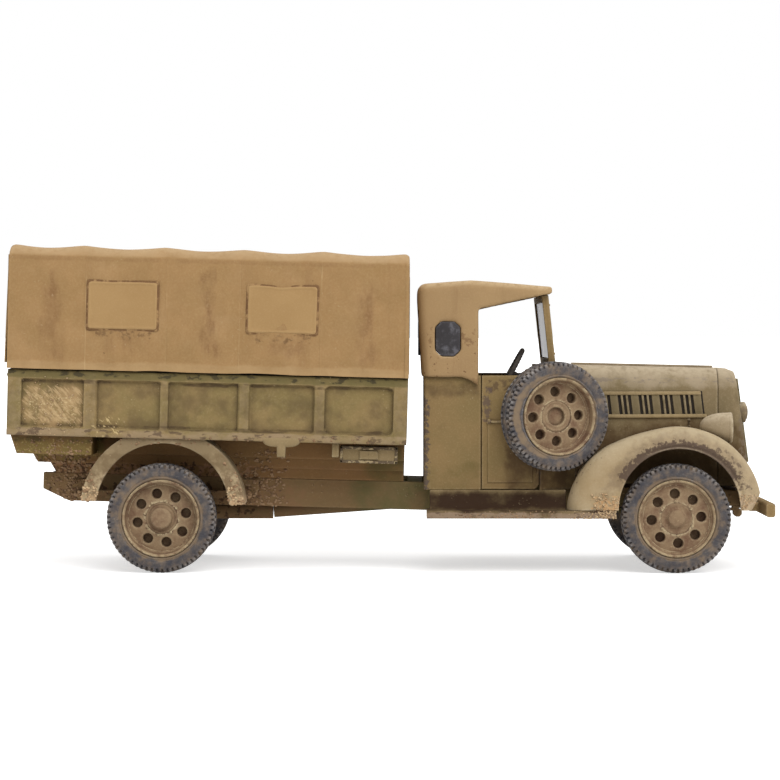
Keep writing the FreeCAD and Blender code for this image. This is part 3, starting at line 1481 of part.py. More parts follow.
# ----------------------------------------------------------------------- cab
def make_cab_tub():
    """Floor, level on top and seated on the pitched rails, and the cab's back."""
    body = new_body("cab_floor")
    rear = D.cab_rear_x + D.panel_wall
    front = D.cowl_front_x - D.panel_wall - D.joint_gap
    seat = D.joint_gap
    pad(body, "XZ", [
        (rear, rail_top_at(rear) + seat), (front, rail_top_at(front) + seat),
        (front, D.floor_top), (rear, D.floor_top),
    ], (D.hood_rear_half - D.panel_wall) * 2, both=True)
    rails = D.hood_rear_half - D.panel_wall
    door_side = D.cab_half_width - D.panel_wall - D.joint_gap
    wing = D.door_front_x - rear
    for side in (rails, -door_side):
        pad(body, "XZ", bar(rear, rear + wing, D.floor_top - D.panel_wall, D.floor_top),
            door_side - rails, offset=side)
    back = new_body("cab_back")
    pad(back, "XZ", bar(D.cab_rear_x, rear, D.floor_top - D.panel_wall, D.waist_height),
        door_side * 2, both=True)
    keep("cab_tub", fuse("cab_tub", [body, back]))


def make_cab_quarters():
    """Rear quarter panels between the cab's back and the doors."""
    body = new_body("cab_quarter_right")
    inner = D.cab_half_width - D.panel_wall
    plate = pad(body, "XZ", bar(D.cab_rear_x, D.door_rear_x - D.shut_line,
                                D.sill_bottom, D.waist_height), D.panel_wall, offset=inner)
    soften(body, plate, D.panel_wall / 2, lambda edge: along(edge, 2)
           and ends_at(edge, 0, D.cab_rear_x) and ends_at(edge, 1, -D.cab_half_width))
    keep_pair("cab_quarter", body)


def make_doors():
    """Fixed doors with a raised lower panel and a rounded lower corner."""
    body = new_body("door_right")
    inner = D.cab_half_width - D.panel_wall
    rear = D.door_rear_x
    front = D.door_front_x
    low = D.sill_bottom + D.shut_line
    corner = D.door_round
    pad(body, "XZ", [
        (rear, low), (front - corner, low, corner), (front, low + corner),
        (front, D.waist_height), (rear, D.waist_height),
    ], D.panel_wall, offset=inner)
    margin = D.panel_wall
    pad(body, "XZ", bar(rear + margin, front - corner, low + corner, D.swage_top),
        D.swage_rise, offset=D.cab_half_width)
    keep_pair("door", body)


def make_cowl(spare_carrier):
    """Hollow cowl from the doors to the hood, with the firewall and the spare's peg."""
    body = new_body("cowl_panels")
    rear = cowl_rear()
    front = D.cowl_front_x
    foot = D.sill_bottom
    loft(body, [(rear, cowl_section(rear, 0, foot)), (front, cowl_section(front, 0, foot))])
    wall = -D.panel_wall
    below = D.sill_bottom - D.panel_wall
    firewall = front - D.panel_wall
    loft(body, [(rear, cowl_section(rear, wall, below)),
                (firewall, cowl_section(firewall, wall, below))], subtract=True)
    side = D.rail_middle + D.rail_width / 2 + D.joint_gap
    rails = block("cowl_rail_clearance", (rear, front + D.panel_wall), (-side, side),
                  (0, D.frame_top))
    shell = cut("cowl_shell", body, rails)
    keep("cowl", fuse("cowl", [shell, spare_carrier]))


def seat_back_top():
    """Top of the seat's back."""
    return D.waist_height - D.back_drop


def make_seat():
    """Bench seat with its back, one casting."""
    body = new_body("seat")
    rear = D.cab_rear_x + D.panel_wall + D.joint_gap
    back = rear + D.back_thickness
    solid = pad(body, "XZ", [
        (rear, D.floor_top), (D.seat_front_x, D.floor_top), (D.seat_front_x, D.seat_top),
        (back, D.seat_top), (back, seat_back_top()), (rear, seat_back_top()),
    ], D.seat_half_width * 2, both=True)
    soften(body, solid, D.panel_wall, lambda edge: along(edge, 1)
           and (ends_at(edge, 2, seat_back_top()) and ends_at(edge, 0, back)
                or ends_at(edge, 2, D.seat_top) and ends_at(edge, 0, D.seat_front_x)))
    keep("seat", body)


def make_dashboard():
    """Dashboard under the cowl's rear edge."""
    body = new_body("dashboard")
    high = D.cowl_top - D.panel_wall - D.joint_gap
    half = D.hood_rear_half - D.panel_wall
    pad(body, "XZ", [
        (cowl_rear() + D.panel_wall, D.cowl_top - D.dash_depth), (cowl_rear() + D.panel_wall, high),
        (cowl_rear(), high), (D.dash_rear_x, D.cowl_top - D.dash_depth),
    ], half * 2, both=True)
    keep("dashboard", body)


def make_steering():
    """Fixed steering wheel with three spokes, on a column to the firewall."""
    place = turned_about_y(D.steer_x, D.steer_y, D.steer_z, 90 + D.steer_tilt.value)
    rim = new_body("steering_rim", place)
    half = D.wheel_rim_section / 2
    inner = D.wheel_rim_radius - half
    outer = D.wheel_rim_radius + half
    turn(rim, "XZ", [(inner, -half), (outer, -half), (outer, half), (inner, half)])
    spoke = pad(rim, "XY", bar(-D.wheel_rim_radius, 0, -D.spoke_width / 2, D.spoke_width / 2),
                D.spoke_width, both=True)
    ring_pattern(rim, spoke, D.spoke_count)
    firewall = D.cowl_front_x - D.panel_wall - D.column_gap
    fall = (firewall - D.steer_x) * D.steer_tilt.tangent()
    column = rod("steering_column_rod", D.column_radius, (D.steer_x, D.steer_y, D.steer_z),
                 (firewall, D.steer_y, D.steer_z - fall))
    keep("steering_wheel", fuse("steering_wheel", [rim, column]))


# ------------------------------------------------- canvas roof and windscreen
def roof_top():
    """Highest point of the canvas roof."""
    return D.waist_height + D.roof_rise


def roof_front_low():
    """Lower edge of the roof at its front."""
    return roof_top() - D.roof_front_drop - D.roof_front_edge


def make_cab_roof():
    """Canvas roof: a shell open below, with panes in its sides and back."""
    body = new_body("cab_roof")
    rear = D.roof_rear_x
    front = D.roof_front_x
    curve = D.roof_round
    foot = D.waist_height - D.roof_lap
    half = D.roof_half_width
    rear_top = roof_top() - D.roof_rear_drop
    front_top = roof_top() - D.roof_front_drop
    tip = D.waist_height - D.roof_tip_drop
    solid = pad(body, "XZ", [
        (rear, foot), (rear, rear_top - curve, -curve), (rear + curve, rear_top),
        (D.roof_peak_x, roof_top()), (front, front_top), (front, roof_front_low()),
        (D.roof_quarter_x, roof_top() - D.roof_brow_drop), (D.roof_quarter_x, tip, D.roof_tip_curve),
        (D.roof_quarter_x - D.roof_tip_length, foot),
    ], half * 2, both=True)
    low_front = roof_front_low().value + NEARLY
    soften(body, solid, D.roof_round, lambda edge: (ends_at(edge, 1, half)
           or ends_at(edge, 1, -half)) and (ends_at(edge, 0, rear)
           or min(v.Point.z for v in edge.Vertexes) > low_front))
    wall = D.roof_wall
    below = tip - wall
    inner = curve - wall
    top = rear_top - wall
    pocket(body, "XZ", [
        (rear + wall, below), (rear + wall, top - inner, -inner), (rear + wall + inner, top),
        (D.roof_peak_x, roof_top() - wall), (front - wall, front_top - wall),
        (front - wall, below),
    ], (half - wall) * 2, both=True)
    pocket(body, "XZ", side_pane(0), (half + wall) * 2, both=True)
    pocket(body, "YZ", rear_pane(0), D.roof_round * 2, offset=rear, both=True)
    keep("cab_roof", body)


def side_pane(gap):
    """Outline of the side pane, smaller by a gap."""
    low_x = D.pane_rear_x + gap
    high_x = D.pane_rear_x + D.pane_width - gap
    low_z = D.waist_height + D.pane_rise + gap
    high_z = D.waist_height + D.pane_rise + D.pane_height - gap
    return cut_corners(low_x, high_x, low_z, high_z, D.pane_corner)


def rear_pane(gap):
    """Outline of the pane in the back, smaller by a gap."""
    half = D.rear_pane_half - gap
    low_z = D.waist_height + D.pane_rise + gap
    high_z = D.waist_height + D.pane_rise + D.pane_height - gap
    return cut_corners(-half, half, low_z, high_z, D.pane_corner)


def make_panes():
    """Dark panes in the canvas roof's sides and back."""
    margin = (D.roof_wall - D.pane_wall) / 2
    side = new_body("cab_pane_right")
    pad(side, "XZ", side_pane(D.pane_fit), D.pane_wall,
        offset=D.roof_half_width - margin - D.pane_wall)
    rear = new_body("cab_pane_rear")
    pad(rear, "YZ", rear_pane(D.pane_fit), D.pane_wall, offset=D.roof_rear_x + margin)
    left = mirror("cab_pane_left", side)
    keep("cab_panes", group("cab_panes", [side, left, rear]))


def make_windscreen():
    """Raked windscreen frame on the cowl, with its glass."""
    place = turned_about_y(D.screen_foot_x - D.screen_wall, 0, D.cowl_top + D.joint_gap,
                           -D.screen_rake_angle)
    frame = new_body("windscreen_frame", place)
    half = D.screen_half_width
    border = D.screen_border
    rise = roof_top() - D.roof_front_drop - D.roof_wall - D.screen_gap - D.cowl_top
    high = rise / D.screen_rake_angle.cosine()
    sketch = new_sketch(frame, "YZ")
    draw_outline(sketch, bar(-half, half, 0, high))
    draw_outline(sketch, bar(border - half, half - border, border, high - border))
    solid = frame.newObject("PartDesign::Pad", "screen_frame")
    solid.Profile = sketch
    tie(solid, "Length", D.screen_wall)
    keep("windscreen_frame", frame)
    glass = new_body("windscreen_glass", place)
    inset = border + D.pane_fit
    pad(glass, "YZ", bar(inset - half, half - inset, inset, high - inset), D.glass_wall,
        offset=(D.screen_wall - D.glass_wall) / 2)
    keep("windscreen_glass", glass)


# ---------------------------------------------------------- build and export
def build():
    """Make every sub-part of the truck."""
    make_frame()
    make_front_axle()
    make_rear_axle()
    make_drive_line()
    make_front_springs()
    make_rear_springs()
    make_road_wheels()
    make_bumper()
    make_hood()
    make_louvres()
    make_radiator()
    make_grille()
    make_front_fenders()
    make_headlights()
    make_running_boards()
    make_cab_tub()
    make_cab_quarters()
    make_doors()
    make_cowl(make_spare_wheel())
    make_seat()
    make_dashboard()
    make_steering()
    make_cab_roof()
    make_panes()
    make_windscreen()
    make_bed_sides()
    make_bed()
    make_bearers()
    make_under_bed()
    make_rear_fenders()
    make_cover()
    make_cover_flaps()
    make_curtain()


def check():
    """Stop if any object failed or any sub-part has no valid solid."""
    doc.recompute()
    for thing in doc.Objects:
        failed = {"Invalid", "Error"} & set(thing.State)
        if failed:
            raise RuntimeError(f"{thing.Label}: {thing.State} {thing.getStatusString()}")
    for name, thing in NODES.items():
        shape = thing.Shape
        if shape.isNull() or not shape.isValid() or not shape.Solids:
            raise RuntimeError(f"{name} has no valid solid")


def export():
    """Write each sub-part to its own STEP file."""
    os.makedirs("parts", exist_ok=True)
    for name, thing in NODES.items():
        thing.Shape.exportStep(f"parts/{name}.step")


build()
check()
export()
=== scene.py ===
"""Looks of a 1:56 scale model military cargo truck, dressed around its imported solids.

The model is a casting painted by hand: thin coats of matt paint, pale dry brushing on the
raised edges, dark washes in the hollows, brown chips and dried mud.  Lengths are in metres.
+X is forward, +Y the truck's left and +Z up.
"""
import logging
import math
import random
from collections.abc import Iterable, Sequence
from dataclasses import dataclass, field
from enum import Enum
from functools import cached_property
from itertools import product

import bmesh
import bpy
from mathutils import Matrix, Vector, noise
from mathutils.bvhtree import BVHTree


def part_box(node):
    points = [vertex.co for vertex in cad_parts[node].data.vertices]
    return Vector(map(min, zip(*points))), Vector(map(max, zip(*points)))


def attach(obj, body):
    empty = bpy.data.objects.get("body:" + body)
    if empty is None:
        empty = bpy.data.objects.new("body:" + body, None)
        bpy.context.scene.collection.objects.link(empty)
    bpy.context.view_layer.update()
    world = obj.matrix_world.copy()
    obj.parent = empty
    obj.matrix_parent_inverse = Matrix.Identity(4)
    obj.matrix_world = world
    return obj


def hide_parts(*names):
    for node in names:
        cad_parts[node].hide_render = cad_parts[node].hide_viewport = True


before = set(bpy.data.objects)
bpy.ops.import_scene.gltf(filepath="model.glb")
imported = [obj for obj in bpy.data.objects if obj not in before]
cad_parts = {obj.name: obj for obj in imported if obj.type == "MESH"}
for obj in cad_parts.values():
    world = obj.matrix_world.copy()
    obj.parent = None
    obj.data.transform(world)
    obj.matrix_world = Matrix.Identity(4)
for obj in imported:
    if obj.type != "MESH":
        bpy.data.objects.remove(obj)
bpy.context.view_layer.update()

MM = 0.001
PITCH = math.radians(1.5)
PITCH_PIVOT = Vector((0, 0, 13.5 * MM))
CHASSIS = "chassis"
WHITE = (1, 1, 1, 1)

Tone = tuple[int, int, int]
Colour = tuple[float, float, float, float]
Point = tuple[float, float, float]
Pair = tuple[float, float]
Socket = bpy.types.NodeSocket
Mesh = bmesh.types.BMesh
Vert = bmesh.types.BMVert
Piece = bpy.types.Object

log = logging.getLogger("truck")


def paint(red: int, green: int, blue: int) -> Colour:
    """Gives a linear colour for a paint mixed in display values of 0 to 255.

    Args:
        red: Display value of red.
        green: Display value of green.
        blue: Display value of blue.

    Returns:
        The colour, opaque.
    """
    def linear(value: int) -> float:
        """Undoes the display curve of one channel."""
        share = value / 255
        return share / 12.92 if share <= 0.04045 else ((share + 0.055) / 1.055) ** 2.4
    return (linear(red), linear(green), linear(blue), 1.0)


def pitched(x: float, y: float, z: float) -> Vector:
    """Places a point of the nose-down bed, given in millimetres with z over the rails' top."""
    return Matrix.Rotation(PITCH, 4, "Y") @ (Vector((x, y, z)) * MM) + PITCH_PIVOT


def spoke(reach: float, turn: float, along: float = 0.0) -> Vector:
    """Gives the point at a radius and an angle about Z, at a height along it."""
    return Vector((reach * math.cos(turn), reach * math.sin(turn), along))


def box_of(node: str) -> tuple[Vector, Vector]:
    """Gives the lowest and the highest corner of a solid."""
    low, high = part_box(node)
    return Vector(low), Vector(high)


# ------------------------------------------------------------------ paint shop
class NodeBench:
    """Lays out and joins the nodes of one material, or of the sky."""

    def __init__(self, tree: bpy.types.NodeTree) -> None:
        """Takes over a node tree and empties it."""
        self.tree = tree
        self.tree.nodes.clear()

    @cached_property
    def place(self) -> Socket:
        """Gives the place on the piece at rest."""
        return self.node("TexCoord").outputs["Object"]

    def node(self, kind: str, inputs: dict[str | int, object] | None = None,
             **settings: object) -> bpy.types.Node:
        """Adds a node.

        Args:
            kind: The node's type, without ShaderNode before it.
            inputs: For each input, the socket that is joined to it or its plain value.
            settings: The node's own settings.

        Returns:
            The node.
        """
        node = self.tree.nodes.new(f"ShaderNode{kind}")
        for name, value in settings.items():
            setattr(node, name, value)
        for name, value in (inputs or {}).items():
            if isinstance(value, Socket):
                self.tree.links.new(value, node.inputs[name])
            else:
                node.inputs[name].default_value = value
        return node

    def noise(self, size: float, detail: float = 3, stretch: Point = (1, 1, 1),
              shift: float = 0, lean: float = 0) -> Socket:
        """Makes cloudy noise.

        Args:
            size: Size of its largest patches.
            detail: Octaves of finer patches.
            stretch: How much longer the patches are along X, Y and Z.
            shift: Moves the pattern, so that two of one size differ.
            lean: Degrees by which long patches lean about Y.

        Returns:
            The noise, about 0.5 in the mean.
        """
        turned = self.node("Mapping", {"Vector": self.place, "Location": (shift, shift, shift),
                                       "Rotation": (0, math.radians(lean), 0)})
        drawn = self.node("Mapping", {"Vector": turned.outputs["Vector"],
                                      "Scale": [1 / along for along in stretch]})
        return self.node("TexNoise", {"Vector": drawn.outputs["Vector"], "Scale": 1 / size,
                                      "Detail": detail, "Roughness": 0.6}).outputs["Fac"]

    def band(self, value: Socket, low: float, high: float) -> Socket:
        """Turns a value into 0 at low and 1 at high, with a smooth ramp between."""
        return self.node("MapRange", {"Value": value, "From Min": low, "From Max": high},
                         interpolation_type="SMOOTHSTEP").outputs["Result"]

    def maths(self, operation: str, first: Socket | float, second: Socket | float) -> Socket:
        """Joins two values by an operation of the Math node, held between 0 and 1."""
        return self.node("Math", {0: first, 1: second}, operation=operation,
                         use_clamp=True).outputs["Value"]

    def times(self, first: Socket | float, second: Socket | float) -> Socket:
        """Multiplies two values."""
        return self.maths("MULTIPLY", first, second)

    def over(self, under: Socket | Tone, coat: Tone, share: Socket) -> Socket:
        """Lays a coat over a colour.

        Args:
            under: The colour below.
            coat: The colour laid over it.
            share: How much of the coat covers, 0 to 1.

        Returns:
            The mixed colour.
        """
        below = under if isinstance(under, Socket) else paint(*under)
        return self.node("Mix", {"Factor": share, "A": below, "B": paint(*coat)},
                         data_type="RGBA").outputs["Result"]

    def hollows(self, reach: float, inside: bool) -> Socket:
        """Finds the hollows of a piece, or from inside its raised edges.

        Args:
            reach: How far a neighbouring face still counts.
            inside: True for raised edges, False for hollows.

        Returns:
            1 in the hollow or on the edge, 0 on open flat faces.
        """
        node = self.node("AmbientOcclusion", {"Distance": reach}, samples=4, inside=inside,
                         only_local=inside)
        return self.maths("SUBTRACT", 1.0, node.outputs["AO"])

    def part_of(self, vector: Socket, axis: str) -> Socket:
        """Gives one part, X, Y or Z, of a vector."""
        return self.node("SeparateXYZ", {"Vector": vector}).outputs[axis]

    def bed_place(self) -> Socket:
        """Gives the place over the rails' top, in the frame of the nose-down bed."""
        return self.node("Mapping", {"Vector": self.place, "Location": PITCH_PIVOT,
                                     "Rotation": (0, PITCH, 0)}, vector_type="TEXTURE").outputs["Vector"]

    def span(self, value: Socket, low: float, high: float, fade: float) -> Socket:
        """Gives 1 between two values, falling to 0 beyond them over a soft border."""
        rising = self.band(value, low - fade / 2, low + fade / 2)
        falling = self.band(value, high + fade / 2, high - fade / 2)
        return self.times(rising, falling)

    def distance(self, centre_x: float, centre_z: float) -> Socket:
        """Gives the distance from an axis along Y."""
        flat = self.node("VectorMath", {0: self.place, 1: (1, 0, 1)}, operation="MULTIPLY")
        return self.node("VectorMath", {0: flat.outputs["Vector"], 1: (centre_x, 0, centre_z)},
                         operation="DISTANCE").outputs["Value"]

    def seen_by(self, *rays: str) -> Socket:
        """Gives 1 to the kinds of ray that are named, and 0 to others.

        Args:
            rays: Outputs of the Light Path node.

        Returns:
            The joined outputs.
        """
        path = self.node("LightPath")
        seen = path.outputs[rays[0]]
        for ray in rays[1:]:
            seen = self.maths("MAXIMUM", seen, path.outputs[ray])
        return seen

    def shade(self, colour: Socket, roughness: Socket, bump: Socket, finish: "BrushedPaint") -> None:
        """Joins colour, gloss and relief to the shader.

        Args:
            colour: The surface's colour.
            roughness: 0 for gloss, 1 for matt.
            bump: Relief of the coat, 0 to 1.
            finish: The paint, for its relief, reflection and rounded edges.
        """
        edge = self.node("Bevel", {"Radius": finish.round_edges}, samples=4)
        relief = self.node("Bump", {"Strength": 1.0, "Distance": finish.relief, "Height": bump,
                                    "Normal": edge.outputs["Normal"]})
        shader = self.node("BsdfPrincipled", {
            "Base Color": colour, "Roughness": roughness, "Specular IOR Level": finish.specular,
            "Normal": relief.outputs["Normal"]})
        self.node("OutputMaterial", {"Surface": shader.outputs["BSDF"]})


def new_material(name: str) -> bpy.types.Material:
    """Starts a material of nodes."""
    material = bpy.data.materials.new(name)
    material.use_nodes = True
    return material


@dataclass(frozen=True)
class Stain:
    """Another colour in a soft-edged area of the model, broken up by noise.

    Lengths are in millimetres.  On the bed, heights are over the rails' top.
    """

    tone: Tone
    share: float
    along: Pair = (-90.0, 90.0)
    high: Pair = (-20.0, 90.0)
    ring: tuple[float, float, float, float] | None = None
    fade: float = 2.0
    size: float = 2.0
    cover: float = 0.5
    soft: float = 0.2
    stretch: Point = (1.0, 1.0, 1.0)
    lean: float = 0.0
    shift: float = 0.0

    def laid(self, bench: NodeBench, under: Socket, on_bed: bool) -> Socket:
        """Lays the stain over a colour.

        Args:
            bench: The material's nodes.
            under: The colour so far.
            on_bed: Whether the area follows the nose-down bed.

        Returns:
            The stained colour.
        """
        place = bench.bed_place() if on_bed else bench.place
        fade = self.fade * MM
        area = bench.times(*(bench.span(bench.part_of(place, axis), low * MM, high * MM, fade)
                             for axis, (low, high) in (("X", self.along), ("Z", self.high))))
        if self.ring:
            centre_x, centre_z, inner, outer = self.ring
            reach = bench.distance(centre_x * MM, centre_z * MM)
            area = bench.times(area, bench.span(reach, inner * MM, outer * MM, fade))
        patches = bench.noise(self.size * MM, 5, self.stretch, self.shift, self.lean)
        outside = bench.times(bench.maths("SUBTRACT", 1.0, area), 0.4)
        loose = bench.maths("SUBTRACT", patches, outside)
        limit = 0.5 + (0.5 - self.cover) * 0.5
        broken = bench.band(loose, limit - self.soft / 2, limit + self.soft / 2)
        return bench.over(under, self.tone, bench.times(broken, self.share))


@dataclass(frozen=True)
class BrushedPaint:
    """A coat of model paint put on by brush, with the wear painted over it.

    Each share runs from 0, none, to 1, all over.
    """

    name: str
    coat: Tone
    second: Tone
    worn: Tone
    wash: Tone
    slot: str
    second_share: float = 0.5
    patch_size: float = 7 * MM
    worn_share: float = 0.75
    wash_share: float = 0.75
    wash_reach: float = 1.6 * MM
    wash_from: float = 0.25
    wash_full: float = 0.85
    chip: Tone = (84, 58, 50)
    chip_share: float = 0.0
    chip_limit: float = 0.78
    speckle_share: float = 0.3
    dust: Tone = (182, 163, 128)
    dust_share: float = 0.0
    mud_share: float = 0.0
    streak: Tone = (140, 108, 72)
    streak_share: float = 0.0
    roughness: float = 0.85
    specular: float = 0.25
    relief: float = 0.035 * MM
    grain: float = 0.28 * MM
    round_edges: float = 0.12 * MM
    on_bed: bool = False
    stains: tuple[Stain, ...] = ()

    def material(self) -> bpy.types.Material:
        """Builds the node material once.

        Returns:
            The material for every piece in this paint.
        """
        if self.name in bpy.data.materials:
            return bpy.data.materials[self.name]
        material = new_material(self.name)
        bench = NodeBench(material.node_tree)
        brush = bench.noise(self.grain, 2)
        fine = bench.noise(self.grain * 3, 4, shift=1.7)
        patches = bench.band(bench.noise(self.patch_size, 5, shift=0.3), 0.38, 0.66)
        colour = bench.over(self.coat, self.second, bench.times(patches, self.second_share))
        colour = bench.over(colour, self.worn, bench.times(bench.band(brush, 0.45, 0.85), 0.22))
        if self.streak_share:
            colour = self._add_streaks(bench, colour)
        edges = bench.band(bench.hollows(0.45 * MM, True), 0.12, 0.5)
        worn_edge = bench.times(edges, bench.band(fine, 0.3, 0.6))
        colour = bench.over(colour, self.worn, bench.times(worn_edge, self.worn_share))
        hollow = bench.band(bench.hollows(self.wash_reach, False), self.wash_from, self.wash_full)
        colour = bench.over(colour, self.wash, bench.times(hollow, self.wash_share))
        for stain in self.stains:
            colour = stain.laid(bench, colour, self.on_bed)
        colour = self._add_dirt(bench, colour, fine)
        rough = bench.maths("ADD", bench.times(fine, 0.18), self.roughness - 0.09)
        relief = bench.maths("ADD", bench.times(brush, 0.5), bench.times(fine, 0.5))
        bench.shade(colour, rough, relief, self)
        return material

    def _add_streaks(self, bench: NodeBench, colour: Socket) -> Socket:
        """Lays faint upright streaks, as rain and a vertical brush leave them.

        Args:
            bench: The material's nodes.
            colour: The colour so far.

        Returns:
            The colour with the streaks.
        """
        wide = bench.noise(2.6 * MM, 4, stretch=(1, 1, 9), shift=2.1)
        narrow = bench.noise(0.7 * MM, 3, stretch=(1, 1, 14), shift=0.9)
        both = bench.times(bench.band(wide, 0.47, 0.72), bench.band(narrow, 0.3, 0.65))
        return bench.over(colour, self.streak, bench.times(both, self.streak_share))

    def _add_dirt(self, bench: NodeBench, colour: Socket, fine: Socket) -> Socket:
        """Lays dust, mud, pale speckles and chips over the coat.

        Args:
            bench: The material's nodes.
            colour: The colour so far.
            fine: Fine noise that breaks the dust up.

        Returns:
            The colour with its dirt.
        """
        if self.dust_share:
            normal = bench.node("NewGeometry").outputs["Normal"]
            up = bench.band(bench.part_of(normal, "Z"), 0.25, 0.95)
            lying = bench.times(up, bench.band(fine, 0.2, 0.6))
            colour = bench.over(colour, self.dust, bench.times(lying, self.dust_share))
        if self.mud_share:
            low = bench.band(bench.part_of(bench.place, "Z"), MUD_TOP, MUD_TOP * 0.35)
            thick = bench.times(low, bench.band(bench.noise(2.2 * MM, 6, shift=4.2), 0.42, 0.6))
            colour = bench.over(colour, MUD_BROWN, bench.times(thick, self.mud_share))
        if self.speckle_share:
            spots = bench.band(bench.noise(0.42 * MM, 2, shift=6.1), 0.66, 0.74)
            clusters = bench.band(bench.noise(6 * MM, 2, shift=8.8), 0.48, 0.62)
            share = bench.times(bench.times(spots, clusters), self.speckle_share)
            colour = bench.over(colour, SPECKLE, share)
        if self.chip_share:
            zone = bench.band(bench.hollows(0.4 * MM, True), 0.2, 0.6)
            patches = bench.band(bench.noise(5 * MM, 2, shift=7.7), 0.4, 0.62)
            loose = bench.maths("ADD", bench.noise(0.7 * MM, 5, shift=3.3), bench.times(zone, 0.22))
            loose = bench.maths("ADD", loose, bench.times(patches, 0.05))
            chips = bench.band(loose, self.chip_limit, self.chip_limit + 0.05)
            colour = bench.over(colour, self.chip, bench.times(chips, self.chip_share))
        return colour


@dataclass(frozen=True)
class FloorFinish:
    """The pale studio floor, which keeps the model's soft shadow."""

    name: str = "studio_floor"
    paper: Colour = (0.88, 0.88, 0.88, 1)
    glow: float = 0.55

    def material(self) -> bpy.types.Material:
        """Builds the floor's material.

        Returns:
            White paper that glows a little towards the camera and mirrors.
        """
        material = new_material(self.name)
        bench = NodeBench(material.node_tree)
        paper = bench.node("BsdfDiffuse", {"Color": self.paper}).outputs["BSDF"]
        glow = bench.node("Emission", {"Strength": self.glow}).outputs["Emission"]
        lit = bench.node("AddShader", {0: paper, 1: glow}).outputs["Shader"]
        choose = bench.node("MixShader", {"Fac": bench.seen_by("Is Camera Ray", "Is Glossy Ray"),
                                          1: paper, 2: lit})
        bench.node("OutputMaterial", {"Surface": choose.outputs["Shader"]})
        return material


CHIP_GREY = (92, 76, 66)
MUD_BROWN = (150, 112, 78)
MUD_TOP = 12 * MM
SPECKLE = (186, 166, 130)
WASH_BROWN = (74, 52, 34)
ARCH = (43.6, 9.7)


def middle_of(node: str) -> Pair:
    """Gives the middle of a solid along X and Z, in millimetres."""
    middle = sum(box_of(node), Vector()) / 2 / MM
    return middle.x, middle.z


OLIVE = BrushedPaint(
    "olive_body", (134, 110, 72), (114, 98, 60), (176, 156, 118), (56, 42, 28), "olive_paint",
    chip=CHIP_GREY, chip_share=0.85, mud_share=0.25, stains=(
        Stain(WASH_BROWN, 0.75, (17.5, 28), (11, 19.5), fade=3.5, size=3, cover=0.72, soft=0.4),
        Stain((88, 75, 66), 0.92, (3.8, 6.2), (12, 27), fade=2.2, size=0.7, cover=0.66, soft=0.08),
        Stain((72, 54, 36), 0.6, (3, 14), (26.6, 28.8), fade=1.4, size=1.8, cover=0.6, soft=0.5),
        Stain((84, 66, 48), 0.7, (14, 28), (27.2, 29.6), fade=1.2, size=0.8, cover=0.45, soft=0.12),
        Stain(CHIP_GREY, 0.8, (13.6, 15.6), (22.5, 28.5), fade=1.6, size=0.8, cover=0.55, soft=0.06),
        Stain((96, 84, 44), 0.5, (4, 14), (13.5, 17), size=4, cover=0.4, soft=0.3),
    ))
BOARD_OLIVE = BrushedPaint(
    "olive_board", (126, 108, 74), (118, 98, 68), (176, 154, 120), (40, 24, 14), "olive_paint",
    # The strong, far-reaching wash darkens the board's hollows; with the near-black band 9.5 to 12.1 mm up
    # it is painted shade in the cove under the cab's sill.
    chip=(84, 68, 58), chip_share=0.85, chip_limit=0.74, wash_share=1.0, wash_reach=3.4 * MM, stains=(
        Stain((44, 25, 10), 0.97, high=(9.5, 12.1), fade=1.6, size=4, cover=1.0, soft=0.5),
        Stain((146, 124, 104), 0.75, high=(7.2, 9.35), fade=0.4, size=1.6, cover=0.7, soft=0.25),
        Stain((92, 74, 60), 0.8, high=(7.2, 9.5), fade=0.4, size=0.7, cover=0.3, soft=0.08,
              stretch=(2, 1, 1), shift=5),
        Stain((178, 138, 98), 0.6, (20, 30), (7, 9.6), fade=5, size=0.9, cover=0.36, soft=0.12),
    ))
HOOD_OLIVE = BrushedPaint(
    "olive_hood", (126, 109, 80), (110, 97, 67), (180, 162, 132), (54, 42, 28), "olive_paint",
    dust_share=1.0, chip=CHIP_GREY, chip_share=0.6, dust=(176, 160, 134), stains=(
        Stain((74, 54, 30), 0.85, high=(12, 23.2), fade=4.5, size=4, cover=0.76, soft=0.4),
        Stain((170, 154, 130), 0.6, high=(27.6, 33), fade=1.8, size=3.4, cover=0.6, soft=0.4),
        Stain((120, 108, 96), 0.6, high=(28.4, 29.8), fade=1.0, size=0.7, cover=0.42, soft=0.1,
              stretch=(2, 1, 1)),
        Stain((112, 97, 80), 0.75, (53.4, 60), (14, 31.4), fade=1.6, size=0.8, cover=0.5, soft=0.12,
              shift=6),
    ))
LOUVRE_BAR = BrushedPaint(
    "louvre_bars", (116, 102, 74), (96, 84, 60), (150, 134, 106), (30, 22, 16), "olive_paint",
    speckle_share=0.1, wash_reach=0.5 * MM, wash_share=1.0)
# Near-black paint for sheets that stand for shade: the plate behind the louvre bars and the strips under
# the canvas's hem.
PAINTED_SHADE = BrushedPaint(
    "louvre_slots", (34, 28, 22), (44, 36, 28), (54, 46, 36), (20, 16, 12), "dark_paint", speckle_share=0.0,
    worn_share=0.1)
LOUVRE_TRIM = BrushedPaint(
    "louvre_trim", (140, 121, 86), (124, 106, 74), (184, 162, 126), (56, 44, 30), "olive_paint",
    chip_share=0.3)
